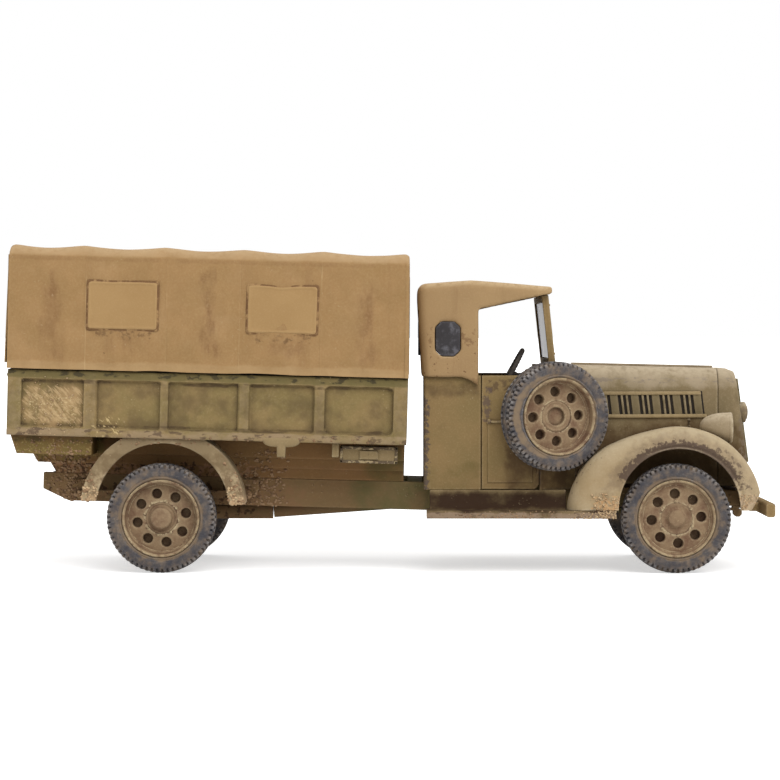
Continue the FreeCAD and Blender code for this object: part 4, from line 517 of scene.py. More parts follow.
BED_OLIVE = BrushedPaint(
    "olive_bed", (136, 114, 74), (112, 101, 59), (176, 156, 116), (56, 42, 26), "olive_paint",
    chip=CHIP_GREY, chip_share=0.8, wash_share=0.95, wash_reach=1.3 * MM, wash_from=0.08, wash_full=0.5,
    speckle_share=0.5, on_bed=True, stains=(
        *(Stain((150, 130, 100), 0.38, (rear, front), (7, 15.6), fade=0.4, size=1.1, cover=0.6, soft=0.3,
                shift=front)
          for rear, front in ((-58.5, -55.9), (-46.3, -44.6), (-34.8, -33.8), (-23.0, -21.6),
              (-11.6, -10.3), (0.3, 3.0))),
        *(Stain((66, 50, 34), 0.7, (-56, 0.4), (edge - 0.5, edge + 0.35), fade=0.5, size=1.6, cover=0.45,
                soft=0.2, stretch=(2, 1, 1), shift=edge)
          for edge in (7.7, 14.4)),
        Stain((100, 90, 54), 0.8, high=(14.7, 17), fade=0.5, size=5, cover=0.75, soft=0.4),
        # Broken dark line high on the top rail: painted shadow under the canvas's overhanging hem.
        Stain((54, 48, 34), 0.8, high=(14.8, 16.2), fade=0.8, size=0.85, cover=0.4, soft=0.1,
              stretch=(2, 1, 1)),
        Stain((80, 64, 44), 0.5, high=(7, 14.6), fade=1.0, size=3, cover=0.42, soft=0.3, shift=5),
        Stain((182, 150, 108), 0.55, (-55.8, -46.4), (7.4, 13.8), fade=2.6, size=2.6, cover=0.6, soft=0.35),
        Stain((190, 162, 120), 0.6, (-56, -46.2), (7.4, 14), fade=1.8, size=0.4, cover=0.44, soft=0.12,
              stretch=(1, 1, 5), lean=44),
        Stain((206, 184, 140), 0.6, (-55.5, -46.6), (7.6, 13), fade=2, size=0.3, cover=0.3, soft=0.08,
              shift=6),
        Stain((202, 178, 128), 0.8, (-46, -39.5), (3, 10.5), fade=4.5, size=0.34, cover=0.34, soft=0.08,
              stretch=(1, 1, 3), lean=44),
        Stain((154, 132, 106), 0.6, high=(5.8, 7.3), fade=0.4, size=2, cover=0.6, soft=0.3,
              stretch=(2, 1, 1)),
        Stain((84, 66, 52), 0.75, high=(5.8, 7.4), fade=0.6, size=0.8, cover=0.36, soft=0.08,
              stretch=(2, 1, 1), shift=3),
    ))
FENDER_OLIVE = BrushedPaint(
    "dusty_fender", (168, 148, 116), (152, 132, 98), (204, 188, 158), (66, 50, 34), "olive_paint",
    speckle_share=0.4, chip=CHIP_GREY, chip_share=0.6, chip_limit=0.8, dust=(188, 172, 142), dust_share=0.6,
    stains=(
        Stain((144, 120, 82), 0.6, (27, 46), (10, 18), fade=4, size=4, cover=0.55, soft=0.4),
        Stain((118, 100, 80), 0.6, (30, 60), (12, 26), ring=(*ARCH, 8.6, 12.2), fade=2.6, size=1.6,
              cover=0.6, soft=0.4),
        Stain((82, 66, 55), 0.92, (33, 54), (14, 26), ring=(*ARCH, 8.2, 10.5), fade=1.7, size=0.5,
              cover=0.8, soft=0.14),
        Stain((92, 76, 64), 0.75, (42, 58), (12, 20), ring=(*ARCH, 8.8, 12), fade=2, size=0.7, cover=0.4,
              soft=0.1),
        Stain((82, 64, 48), 0.8, (26, 36), (11.5, 18), ring=(38.4, 8.1, 11.3, 11.9), fade=1.0, size=0.5,
              cover=0.5, soft=0.08),
        Stain((194, 152, 106), 0.8, (30, 41), (8, 12.2), fade=3.4, size=0.5, cover=0.56, soft=0.2),
        Stain((182, 158, 130), 0.7, (51, 58), (8, 12.4), fade=2.6, size=0.7, cover=0.55, soft=0.14),
        Stain((186, 150, 116), 0.75, (-48, -20), (8, 12.6), fade=3, size=0.7, cover=0.5, soft=0.2),
        # Darker patches over the rear fenders: dirty smudges, and painted shade under the load bed that
        # overhangs them.
        Stain((100, 78, 54), 0.75, (-48, -20), (11, 19), fade=3, size=1.4, cover=0.52, soft=0.2),
        Stain((118, 100, 72), 0.75, (-48, -20), (15, 23), fade=3, size=2.4, cover=0.75, soft=0.3, shift=2),
    ))
SEAM_PALE = (196, 166, 122)
STAIN_BROWN = (112, 76, 48)
CANVAS = BrushedPaint(
    "tan_canvas", (157, 123, 81), (142, 112, 70), (180, 150, 108), (82, 60, 38), "canvas_paint",
    patch_size=5 * MM, streak=(138, 104, 68), streak_share=0.4, dust_share=0.5, dust=(186, 160, 124),
    speckle_share=0.3, worn_share=0.6, relief=0.02 * MM, wash_reach=0.6 * MM, wash_from=0.1, wash_full=0.45,
    wash_share=0.95, on_bed=True, stains=(
        # Paler band over the shoulder and roof: painted highlight where the top faces the light.
        Stain((176, 144, 104), 0.75, high=(33.3, 36), fade=0.5, size=6, cover=0.9, soft=0.5),
        # Darker band in the crease under the shoulder's roll: painted shade.
        Stain((136, 102, 66), 0.55, high=(32.4, 33.2), fade=0.5, size=3, cover=0.6, soft=0.4),
        Stain((180, 150, 108), 0.55, high=(16, 17.4), fade=0.9, size=5, cover=0.7, soft=0.4),
        *(Stain(SEAM_PALE, 0.4, (seam - 0.12, seam + 0.12), (14, 33.4), fade=0.3, size=1.6, cover=0.44,
                soft=0.3, stretch=(1, 1, 4), shift=seam)
          for seam in (-46.3, -34.2, -23.2, -11.0, 1.9)),
        *(Stain(STAIN_BROWN, share, (rear, front), (low, high), fade=3.4, size=1.5, cover=cover, soft=0.45,
                stretch=(1, 1, 2.4), shift=rear)
          for share, rear, front, low, high, cover in ((0.7, -52.6, -50.6, 24, 32, 0.5),
              (0.45, -53.5, -49.5, 17, 29, 0.5), (0.75, -29.4, -26.6, 18, 32, 0.5),
              (0.6, -28.6, -25.6, 18, 25, 0.52), (0.55, -5.0, -2.8, 22, 31, 0.5),
              (0.5, -6.0, -2.0, 17, 27, 0.48), (0.55, -43.6, -36.4, 18, 22.2, 0.46),
              (0.5, -19.0, -13.0, 18.5, 21.8, 0.46))),
        *(Stain((98, 70, 46), 0.75, (rear, rear + 9), (20.6, 22.5), fade=1.2, size=0.7, cover=0.42,
                soft=0.2, shift=rear)
          for rear in (-45.2, -21.2)),
        Stain((184, 156, 112), 0.16, size=0.36, cover=0.42, soft=0.3, shift=5),
        Stain((128, 100, 62), 0.28, size=3, cover=0.46, soft=0.5, shift=7),
        Stain((66, 44, 32), 0.85, size=0.55, cover=0.02, soft=0.04, shift=3.0),
    ))
CAB_CANVAS = BrushedPaint(
    "cab_canvas", (160, 131, 92), (148, 120, 84), (190, 162, 122), (78, 58, 38), "canvas_paint",
    streak=(128, 98, 66), streak_share=0.35, dust_share=0.75, dust=(196, 170, 132), speckle_share=0.15,
    worn_share=0.6, relief=0.02 * MM, stains=(
        Stain((88, 68, 54), 0.9, (2.4, 4.35), (24, 40), fade=0.9, size=1, cover=0.7, soft=0.2),
        Stain((112, 82, 56), 0.6, (5, 14), (34, 37.5), fade=3, size=0.9, cover=0.42, soft=0.12),
        Stain((92, 60, 40), 0.8, (4, 15), (28, 38), fade=4, size=0.7, cover=0.2, soft=0.05),
        Stain((110, 80, 52), 0.5, (4, 15), (26, 30), fade=2, size=1.4, cover=0.45, soft=0.2,
              stretch=(1, 1, 2.5)),
    ))
FLAP_CANVAS = BrushedPaint(
    "flap_canvas", (163, 131, 87), (154, 122, 79), (184, 155, 112), (78, 54, 34), "canvas_paint",
    speckle_share=0.2, worn_share=0.5, wash_reach=0.5 * MM, wash_share=0.8, relief=0.02 * MM)
FRAME_BROWN = BrushedPaint(
    "muddy_frame", (124, 98, 66), (106, 91, 60), (150, 124, 90), (42, 28, 18), "frame_paint",
    speckle_share=0.35, stains=(
        Stain((84, 86, 50), 0.7, (-6, 40), (6, 16), fade=5, size=5, cover=0.62, soft=0.4),
        Stain((128, 98, 68), 0.75, (-60, -12), (6, 13.6), fade=4, size=1.0, cover=0.5, soft=0.12),
        Stain((56, 34, 22), 0.8, (-60, -20), (6, 14.6), fade=4, size=0.9, cover=0.38, soft=0.1, shift=2),
    ))
BEARER_BROWN = BrushedPaint(
    "bearer_brown", (124, 92, 56), (106, 84, 50), (152, 122, 86), (40, 28, 18), "frame_paint",
    speckle_share=0.4, wash_reach=1.6 * MM, wash_share=0.7, on_bed=True, stains=(
        Stain((112, 98, 52), 0.7, (-58, -44), (1.6, 6), fade=2, size=2.5, cover=0.6, soft=0.3),
        Stain((178, 160, 104), 0.5, (-58, -44), (2, 6), fade=1.6, size=0.3, cover=0.3, soft=0.1, shift=9),
        # Dark band along the bearers' top, under the bed's lower rail: painted shade.
        Stain((48, 46, 28), 0.6, (-58, -44), (4.8, 6.2), fade=1.2, size=1.4, cover=0.5, soft=0.3),
        Stain((148, 112, 84), 0.8, (-58, -20), (-8, 2.6), fade=3, size=0.8, cover=0.48, soft=0.1),
        Stain((50, 30, 20), 0.8, (-58, -20), (-8, 3), fade=3, size=1, cover=0.36, soft=0.1, shift=4),
        Stain((82, 76, 40), 0.7, (-4, 3), (-1, 6), fade=4, size=4, cover=0.6, soft=0.4),
        Stain((124, 92, 60), 0.6, (-22, -4), (0.6, 2.4), fade=1.6, size=2, cover=0.55, soft=0.3),
    ))
LUG_OLIVE = BrushedPaint(
    "lug_olive", (140, 120, 86), (124, 106, 72), (178, 160, 124), (60, 46, 32), "olive_paint",
    wash_reach=0.8 * MM, chip=(76, 62, 50), chip_share=0.85, chip_limit=0.7)
LAMP_OLIVE = BrushedPaint(
    "lamp_olive", (150, 133, 106), (134, 117, 90), (198, 184, 156), (66, 54, 40), "olive_paint",
    dust=(188, 172, 146), dust_share=0.8, chip=CHIP_GREY, chip_share=0.5)
# Dark line round each window flap: painted shadow at the raised flap's edge, with pooled wash.
FLAP_SHADE_LINE = BrushedPaint(
    "flap_shade_line", (108, 78, 50), (92, 64, 42), (150, 116, 78), (62, 42, 28), "canvas_paint",
    speckle_share=0.1, stains=(
        Stain((160, 128, 86), 0.9, size=0.9, cover=0.38, soft=0.2),
    ))
MUD = BrushedPaint(
    "dried_mud", (124, 94, 66), (84, 60, 42), (168, 138, 106), (46, 30, 20), "frame_paint",
    second_share=0.9, patch_size=1.2 * MM, speckle_share=0.4, wash_reach=0.7 * MM)
PALE_MUD = BrushedPaint(
    "pale_mud", (170, 138, 102), (148, 112, 78), (206, 180, 142), (92, 68, 48), "frame_paint",
    second_share=0.8, patch_size=1.2 * MM, speckle_share=0.5, wash_reach=0.5 * MM)
TYRE_GREY = BrushedPaint(
    "tyre_grey", (76, 73, 74), (94, 87, 82), (158, 154, 152), (34, 31, 32), "tyre_paint", worn_share=0.9,
    speckle_share=0.3, patch_size=3 * MM, stains=(
        Stain((142, 122, 100), 0.5, size=1.4, cover=0.46, soft=0.3),
        Stain((46, 48, 58), 0.6, size=2.2, cover=0.46, soft=0.35, shift=2),
        *(Stain((132, 112, 88), 0.75, ring=(*middle_of(node), 5.4, 6.45), fade=0.5, size=1.4, cover=0.8,
                soft=0.4)
          for node in ("tyre_front_right", "tyre_rear_right", "spare_tyre")),
    ))
WHEEL_OLIVE = BrushedPaint(
    "washed_wheel", (138, 115, 88), (104, 76, 58), (182, 164, 130), (40, 26, 18), "wheel_paint",
    second_share=0.9, patch_size=2.6 * MM, speckle_share=0.6, worn_share=0.9, wash_share=0.9,
    wash_reach=1.1 * MM, chip=(84, 52, 42), chip_share=0.8, chip_limit=0.76)
SEAT_BROWN = BrushedPaint(
    "seat_leather", (104, 72, 48), (88, 60, 40), (150, 114, 80), (40, 26, 18), "interior_paint")
DARK_WASH = BrushedPaint(
    "dark_wash", (60, 55, 52), (50, 45, 40), (112, 102, 92), (24, 20, 16), "dark_paint")
GRILLE_OLIVE = BrushedPaint(
    "grille_olive", (96, 86, 62), (78, 70, 48), (150, 134, 100), (26, 22, 16), "dark_paint",
    wash_reach=0.8 * MM, wash_share=0.95)
PANE_SLATE = BrushedPaint(
    "pane_slate", (48, 45, 47), (40, 37, 38), (88, 84, 86), (26, 22, 22), "dark_paint", roughness=0.4,
    relief=0.012 * MM, grain=0.5 * MM, stains=(
        Stain((110, 108, 114), 0.55, size=1.2, cover=0.3, soft=0.2),
    ))
PANE_PALE = BrushedPaint(
    "pane_pale", (190, 190, 196), (174, 174, 180), (214, 214, 216), (104, 98, 90), "pane_paint",
    roughness=0.35, relief=0.008 * MM, speckle_share=0.0, worn_share=0.2)
FINISHES: dict[BrushedPaint, tuple[str, ...]] = {
    CANVAS: ("bed_cover", "rear_curtain"),
    CAB_CANVAS: ("cab_roof",),
    FLAP_CANVAS: ("cover_flaps",),
    BOARD_OLIVE: ("running_board_left", "running_board_right"),
    BEARER_BROWN: ("bearers",),
    TYRE_GREY: ("tyre_front_left", "tyre_front_right", "tyre_rear_left", "tyre_rear_right", "spare_tyre"),
    WHEEL_OLIVE: ("wheel_front_left", "wheel_front_right", "wheel_rear_left", "wheel_rear_right",
                  "spare_wheel"),
    FRAME_BROWN: ("rail_left", "rail_right", "cross_members", "front_axle", "knuckles", "rear_axle",
                  "drive_shaft", "engine_block", "front_springs", "rear_springs"),
    SEAT_BROWN: ("seat",),
    DARK_WASH: ("steering_wheel",),
    GRILLE_OLIVE: ("grille",),
    LUG_OLIVE: ("toolboxes", "bed_lugs"),
    PANE_SLATE: ("cab_panes",),
    PANE_PALE: ("windscreen_glass", "headlight_lenses"),
    HOOD_OLIVE: ("hood", "louvre_panel_left", "louvre_panel_right", "radiator_shell",
                 "radiator_boss"),
    LAMP_OLIVE: ("headlight_left", "headlight_right"),
    FENDER_OLIVE: ("front_fender_left", "front_fender_right", "rear_fender_left", "rear_fender_right"),
    BED_OLIVE: ("bed_side_left", "bed_side_right", "tailgate", "headboard", "bed_floor"),
}


# ---------------------------------------------------------------------- studio
@dataclass
class Studio:
    """The floor, lights and camera around the model."""

    eye: Point = (3.3 * MM, -399 * MM, 36.05 * MM)
    aim: Point = (0.0, -19 * MM, 27.8 * MM)
    lens: float = 116.9
    key_strength: float = 2.1
    fill_strength: float = 0.7
    sky_strength: float = 0.55

    def build(self) -> None:
        """Sets up everything that isn't the model."""
        self._lay_floor()
        self._hang_sky()
        self._add_sun("key_light", (0.35, -0.75, 0.9), self.key_strength, 50)
        self._add_sun("back_light", (-0.3, 0.8, 0.9), self.fill_strength, 60)
        self._place_camera()

    def _lay_floor(self) -> None:
        """Lays the pale floor."""
        mesh = bpy.data.meshes.new("studio_floor")
        reach = 30.0
        corners = [(-reach, -reach, 0), (reach, -reach, 0), (reach, reach, 0), (-reach, reach, 0)]
        mesh.from_pydata(corners, [], [(0, 1, 2, 3)])
        floor = bpy.data.objects.new("studio_floor", mesh)
        floor.data.materials.append(FloorFinish().material())
        bpy.context.scene.collection.objects.link(floor)

    def _hang_sky(self) -> None:
        """Makes the white surroundings, plain light on the model and white to the camera."""
        world = bpy.data.worlds.new("studio_sky")
        bpy.context.scene.world = world
        world.use_nodes = True
        bench = NodeBench(world.node_tree)
        light = bench.node("Background", {"Color": WHITE, "Strength": self.sky_strength})
        shown = bench.node("Background", {"Color": WHITE})
        seen = bench.seen_by("Is Camera Ray", "Is Glossy Ray", "Is Transmission Ray")
        choose = bench.node("MixShader", {"Fac": seen, 1: light.outputs["Background"],
                                          2: shown.outputs["Background"]})
        bench.node("OutputWorld", {"Surface": choose.outputs["Shader"]})

    def _add_sun(self, name: str, towards: Point, strength: float, softness: float) -> None:
        """Adds a broad soft light.

        Args:
            name: The light's name.
            towards: Direction from the model to the light.
            strength: Its strength.
            softness: Its width in degrees.
        """
        lamp = bpy.data.lights.new(name, "SUN")
        lamp.energy = strength
        lamp.angle = math.radians(softness)
        sun = bpy.data.objects.new(name, lamp)
        sun.rotation_euler = Vector(towards).to_track_quat("Z", "Y").to_euler()
        bpy.context.scene.collection.objects.link(sun)

    def _place_camera(self) -> None:
        """Places the camera at the truck's driver's side."""
        lens = bpy.data.cameras.new("camera")
        lens.lens = self.lens
        lens.sensor_width = 36
        lens.clip_start = 0.01
        lens.clip_end = 100
        camera = bpy.data.objects.new("camera", lens)
        camera.location = self.eye
        way = Vector(self.eye) - Vector(self.aim)
        camera.rotation_euler = way.to_track_quat("Z", "Y").to_euler()
        bpy.context.scene.collection.objects.link(camera)
        bpy.context.scene.camera = camera
        bpy.context.scene.view_settings.view_transform = "Standard"


# ------------------------------------------------------------------- mesh shop
class Side(Enum):
    """The two sides of the truck, as the sign of Y."""

    RIGHT = -1
    LEFT = 1


def finished(name: str, mesh: Mesh, finish: BrushedPaint, sharp: float, node: str | None = None,
             body: str = CHASSIS) -> Piece:
    """Turns a mesh into a painted piece that rides on a body.

    Args:
        name: The piece's name.
        mesh: Its mesh, which is used up.
        finish: The paint on it.
        sharp: Edges sharper than this many degrees stay sharp.
        node: The solid that it stands for, if any.
        body: The body that it moves with.

    Returns:
        The piece.
    """
    bmesh.ops.recalc_face_normals(mesh, faces=mesh.faces)
    data = bpy.data.meshes.new(name)
    mesh.to_mesh(data)
    mesh.free()
    for face in data.polygons:
        face.use_smooth = True
    data.set_sharp_from_angle(angle=math.radians(sharp))
    data.materials.append(finish.material())
    piece = bpy.data.objects.new(name, data)
    bpy.context.scene.collection.objects.link(piece)
    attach(piece, body)
    if node:
        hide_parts(node)
    log.info("%s: %d faces on %s", name, len(data.polygons), body)
    return piece


def add_grid(mesh: Mesh, rows: Sequence[Sequence[Vector]], closed_rows: bool = False,
             closed_columns: bool = False) -> list[list[Vert]]:
    """Adds a sheet of quads through a grid of points.

    Args:
        mesh: The mesh that it goes into.
        rows: Points of the grid, row by row.
        closed_rows: Whether the last row joins the first.
        closed_columns: Whether each row closes on itself.

    Returns:
        The grid's vertices, row by row.
    """
    grid = [[mesh.verts.new(point) for point in row] for row in rows]
    count = len(grid)
    width = len(grid[0])
    for row in range(count if closed_rows else count - 1):
        for column in range(width if closed_columns else width - 1):
            beside = (column + 1) % width
            below = (row + 1) % count
            mesh.faces.new((grid[row][column], grid[row][beside], grid[below][beside],
                            grid[below][column]))
    return grid


def add_lathe(mesh: Mesh, profile: Sequence[Pair], frame_of: Matrix,
              sides: int) -> list[list[Vert]]:
    """Adds a turned form.

    Args:
        mesh: The mesh that it goes into.
        profile: Radius and place along the axis, from one end to the other.
        frame_of: Takes a point whose axis is Z to its place.
        sides: Facets round it.

    Returns:
        Its vertices, one ring for each point of the profile.
    """
    rows = [[frame_of @ spoke(radius, math.tau * side / sides, along) for side in range(sides)]
            for radius, along in profile]
    return add_grid(mesh, rows, closed_columns=True)


def add_ends(mesh: Mesh, grid: list[list[Vert]]) -> None:
    """Closes a row of rings with a face at each end."""
    mesh.faces.new(grid[0][::-1])
    mesh.faces.new(grid[-1])


def standing(centre: Vector, out: Vector) -> Matrix:
    """Gives the frame whose origin is a centre and whose Z looks along a direction."""
    return Matrix.Translation(centre) @ out.to_track_quat("Z", "Y").to_matrix().to_4x4()


def add_box(mesh: Mesh, low: Sequence[float], high: Sequence[float],
            bevel: float = 0.0) -> list[Vert]:
    """Adds a block, its edges bevelled.

    Args:
        mesh: The mesh that it goes into.
        low: Its lowest corner.
        high: Its highest corner.
        bevel: Width of the bevel on its edges.

    Returns:
        Its vertices.
    """
    made = bmesh.ops.create_cube(mesh, size=1.0)["verts"]
    for vertex in made:
        vertex.co = Vector([low[axis] + (vertex.co[axis] + 0.5) * (high[axis] - low[axis])
                            for axis in range(3)])
    if bevel:
        edges = list({edge for vertex in made for edge in vertex.link_edges})
        result = bmesh.ops.bevel(mesh, geom=edges, offset=bevel, segments=2, profile=0.5,
                                 affect="EDGES", clamp_overlap=True)
        made = list({vertex for face in result["faces"] for vertex in face.verts} |
                    {vertex for vertex in made if vertex.is_valid})
    return made


def add_tube(mesh: Mesh, path: Sequence[Vector], radius: float, sides: int = 12) -> None:
    """Adds a round bar along a path, closed at both ends.

    Args:
        mesh: The mesh that it goes into.
        path: Points of its middle line.
        radius: Its radius.
        sides: Facets round it.
    """
    rings = []
    for number, point in enumerate(path):
        before = path[max(number - 1, 0)]
        after = path[min(number + 1, len(path) - 1)]
        turn = (after - before).to_track_quat("Z", "Y").to_matrix()
        rings.append([point + turn @ spoke(radius, math.tau * side / sides) for side in range(sides)])
    add_ends(mesh, add_grid(mesh, rings, closed_columns=True))


def add_stud(mesh: Mesh, centre: Vector, out: Vector, radius: float, height: float,
             sides: int = 10) -> None:
    """Adds a domed rivet or bolt head.

    Args:
        mesh: The mesh that it goes into.
        centre: Middle of its foot.
        out: The way it stands.
        radius: Its radius.
        height: Its height.
        sides: Facets round it, 6 for a hexagon.
    """
    profile = [(radius, -height * 0.5), (radius, height * 0.45), (radius * 0.72, height * 0.85),
               (radius * 0.3, height)]
    add_ends(mesh, add_lathe(mesh, profile, standing(centre, out), sides))


def copy_of(node: str) -> Mesh:
    """Copies a solid's mesh, its coplanar facets joined.

    Args:
        node: The solid's name.

    Returns:
        The copied mesh.
    """
    mesh = bmesh.new()
    mesh.from_mesh(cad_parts[node].data)
    bmesh.ops.remove_doubles(mesh, verts=mesh.verts, dist=0.002 * MM)
    bmesh.ops.dissolve_limit(mesh, angle_limit=math.radians(3), verts=mesh.verts, edges=mesh.edges)
    return mesh


def soften_edges(mesh: Mesh, width: float, sharper_than: float = 30) -> None:
    """Rounds the sharp edges of a mesh, as casting and paint do.

    Args:
        mesh: The mesh.
        width: Width of the rounding.
        sharper_than: Edges that bend more than this many degrees are rounded.
    """
    limit = math.radians(sharper_than)
    edges = [edge for edge in mesh.edges if edge.is_manifold and edge.calc_face_angle(0.0) > limit]
    bmesh.ops.bevel(mesh, geom=edges, offset=width, segments=2, profile=0.6, affect="EDGES",
                    clamp_overlap=True)


def thicken(mesh: Mesh, wall: float) -> None:
    """Gives a sheet a thickness, inwards."""
    bmesh.ops.recalc_face_normals(mesh, faces=mesh.faces)
    bmesh.ops.solidify(mesh, geom=mesh.faces[:], thickness=wall)


def unevenness(point: Vector, size: float, seed: float = 0.0) -> float:
    """Gives smooth noise between about -1 and 1 at a point."""
    return noise.noise(point / size + Vector((seed, seed * 1.7, seed * 2.3)))


# ---------------------------------------------------------------------- wheels
@dataclass
class Tyre:
    """A bar-treaded tyre: two rows of square lugs on each shoulder and ribs in between.

    Its centre is in the model's frame, and its other lengths are in millimetres.
    """

    node: str
    body: str
    centre: Vector
    out: Vector
    radius: float = 8.3
    half_width: float = 2.1
    bead: float = 5.9
    lugs: int = 62
    groove: float = 0.42

    def build(self) -> Piece:
        """Builds the tyre.

        Returns:
            The piece that stands for the solid tyre.
        """
        mesh = bmesh.new()
        place = standing(self.centre, self.out) @ Matrix.Scale(MM, 4)
        rows = [[place @ spoke(radius - (0.0 if block else rise),
                               math.tau * (share + phase / self.lugs), along)
                 for share, block in self._columns()]
                for radius, along, rise, phase in self._profile()]
        add_grid(mesh, rows, closed_rows=True, closed_columns=True)
        return finished(f"{self.node}_lugged", mesh, TYRE_GREY, 50, self.node, self.body)

    def _columns(self) -> list[tuple[float, bool]]:
        """Gives shares of a turn, and whether each lies on a lug."""
        steps = ((0.0, True), (0.26, True), (0.52, True), (0.62, False), (0.9, False))
        return [((lug + share) / self.lugs, block) for lug in range(self.lugs) for share, block in steps]

    def _profile(self) -> list[tuple[float, float, float, float]]:
        """Gives radius, place along the axis, groove depth and phase round the section.

        Returns:
            The section from the outer bead round the tread to the inner one.
        """
        top = self.radius
        side = self.half_width
        cut = self.groove
        outer = [
            (self.bead + 0.02, side * 0.72, 0, 0), (self.bead + 0.05, side * 0.9, 0, 0),
            (self.bead + 0.28, side * 0.97, 0, 0), (self.bead + 0.42, side * 0.93, 0, 0),
            (self.bead + 0.56, side * 0.985, 0, 0), (self.bead + 0.95, side, 0, 0),
            (self.bead + 1.35, side * 0.985, 0, 0), (top - 0.72, side * 0.945, 0, 0),
            (top - 0.62, side * 0.93, cut * 0.3, 0), (top - 0.4, side * 0.92, cut * 0.8, 0),
            (top - 0.2, side * 0.84, cut, 0), (top - 0.14, side * 0.76, cut, 0),
            (top - 0.34, side * 0.73, cut * 0.4, 0), (top - 0.34, side * 0.66, cut * 0.4, 0.5),
            (top - 0.04, side * 0.63, cut * 0.9, 0.5), (top - 0.01, side * 0.4, cut * 0.9, 0.5),
            (top - 0.3, side * 0.37, cut * 0.3, 0.5), (top - 0.3, side * 0.24, 0, 0),
            (top, side * 0.2, 0, 0),
        ]
        inner = [(radius, -along, rise, phase) for radius, along, rise, phase in outer[::-1]]
        return outer + inner


@dataclass
class DiscWheel:
    """A pressed disc wheel: rolled rim, stepped disc with eight hand holes, and a hub.

    Its centre is in the model's frame, and its other lengths are in millimetres.
    """

    node: str
    body: str
    centre: Vector
    out: Vector
    disc_depth: float
    cap_height: float
    turn: float = 0.0
    cap_radius: float = 1.4
    hub_hollow: float = 0.0
    bead: float = 5.9
    half_width: float = 2.1
    holes: int = 8
    hole_pitch: float = 3.75
    hole_radius: float = 0.79
    sector_steps: int = 16
    nuts: int = 0
    nut_pitch: float = 2.62

    def build(self) -> Piece:
        """Builds the wheel.

        Returns:
            The piece that stands for the solid wheel.
        """
        mesh = bmesh.new()
        place = standing(self.centre, self.out) @ Matrix.Scale(MM, 4)
        face = self.half_width - self.disc_depth
        self._add_disc(mesh, place, face)
        side = self.half_width
        rim = [
            (5.02, face), (5.1, face + 0.05), (5.16, face + 0.26),
            (5.24, face + 0.34), (5.4, face + 0.36),
            (5.44, max(side - 0.32, face + 0.42)), (5.5, side - 0.12),
            (5.62, side), (5.78, side + 0.02), (5.88, side - 0.1),
            (5.9, side - 0.5), (5.9, 0.3 - side), (5.3, 0.3 - side),
            (5.1, 0.8 - side), (1.7, 0.8 - side),
        ]
        add_lathe(mesh, rim, place, 112)
        self._add_hub(mesh, place, face)
        for nut in range(self.nuts):
            spot = spoke(self.nut_pitch, self.turn + math.tau * (nut + 0.5) / self.nuts)
            spot.z = face + self._rise(spot) - 0.02
            add_stud(mesh, place @ spot, self.out, 0.24 * MM, 0.2 * MM, 6)
        return finished(f"{self.node}_disc", mesh, WHEEL_OLIVE, 40, self.node, self.body)

    def _add_hub(self, mesh: Mesh, place: Matrix, face: float) -> None:
        """Adds the hub, its collar and its cap or hollow.

        Args:
            mesh: The wheel's mesh.
            place: The wheel's frame.
            face: The disc's face along the axis.
        """
        radius = self.cap_radius
        if self.hub_hollow:
            hub = [
                (2.5, face - 0.02), (2.36, face + 0.16), (2.1, face + 0.22),
                (1.95, face + 0.12), (1.75, face + 0.12), (1.6, face + 0.2),
                (radius, face + 0.14), (radius - 0.04, face - self.hub_hollow),
                (0.5, face - self.hub_hollow * 0.9),
            ]
        else:
            top = face + self.cap_height
            hub = [
                (2.6, face - 0.02), (2.46, face + 0.14), (2.2, face + 0.2),
                (2.0, face + 0.1), (radius + 0.32, face + 0.12),
                (radius + 0.2, face + 0.26), (radius + 0.05, face + 0.32),
                (radius, top - 0.22), (radius - 0.16, top - 0.04),
                (radius - 0.4, top), (0.4, top),
            ]
        grid = add_lathe(mesh, hub, place, 48)
        mesh.faces.new(grid[-1])

    def _add_disc(self, mesh: Mesh, place: Matrix, face: float) -> None:
        """Adds the disc between hub and rim, its hand holes cut as deep pockets.

        Args:
            mesh: The wheel's mesh.
            place: The wheel's frame.
            face: The disc's face along the axis.
        """
        inner = 2.4
        outer = 5.1
        steps = self.sector_steps
        span = math.tau / self.holes
        for hole in range(self.holes):
            middle = self.turn + span * hole
            border = self._sector_border(inner, outer, middle, span, steps)
            centre = spoke(self.hole_pitch, middle)
            spots = [([self._between(point, centre, share) for point in border], 0.0)
                     for share in (1.0, 0.72, 0.42, 0.16)]
            for reach, drop in ((0.06, 0.0), (0.0, 0.06), (-0.04, 0.3), (-0.04, 1.25)):
                spots.append(([centre + (point - centre).normalized() * (self.hole_radius + reach)
                               for point in border], drop))
            rings = [[place @ Vector((spot.x, spot.y, face + self._rise(spot) - drop)) for spot in ring]
                     for ring, drop in spots]
            grid = add_grid(mesh, rings, closed_columns=True)
            mesh.faces.new(grid[-1])
        bmesh.ops.remove_doubles(mesh, verts=mesh.verts, dist=0.004 * MM)

    def _rise(self, point: Vector) -> float:
        """Gives how far the disc is domed at a point of its face."""
        reach = math.hypot(point.x, point.y)
        return 0.28 * math.cos(min(reach / (5.2), 1) * math.pi / 2)

    def _between(self, point: Vector, centre: Vector, share: float) -> Vector:
        """Gives a point between a hole's rim and its sector's border."""
        away = (point - centre).normalized() * (self.hole_radius + 0.1)
        return centre + away + (point - centre - away) * share

    def _sector_border(self, inner: float, outer: float, middle: float, span: float,
                       steps: int) -> list[Vector]:
        """Gives points round one sector of the disc, anticlockwise.

        Args:
            inner: Its inner radius.
            outer: Its outer radius.
            middle: Angle of its middle.
            span: Angle that it covers.
            steps: Points on each of its two arcs.

        Returns:
            The points, in the wheel's frame.
        """
        half = span / 2
        cross = 6
        depth = inner - outer
        points = [spoke(outer, middle - half + span * step / steps) for step in range(steps)]
        points += [spoke(outer + depth * step / cross, middle + half) for step in range(cross)]
        points += [spoke(inner, middle + half - span * step / steps) for step in range(steps)]
        points += [spoke(inner - depth * step / cross, middle - half) for step in range(cross)]
        return points


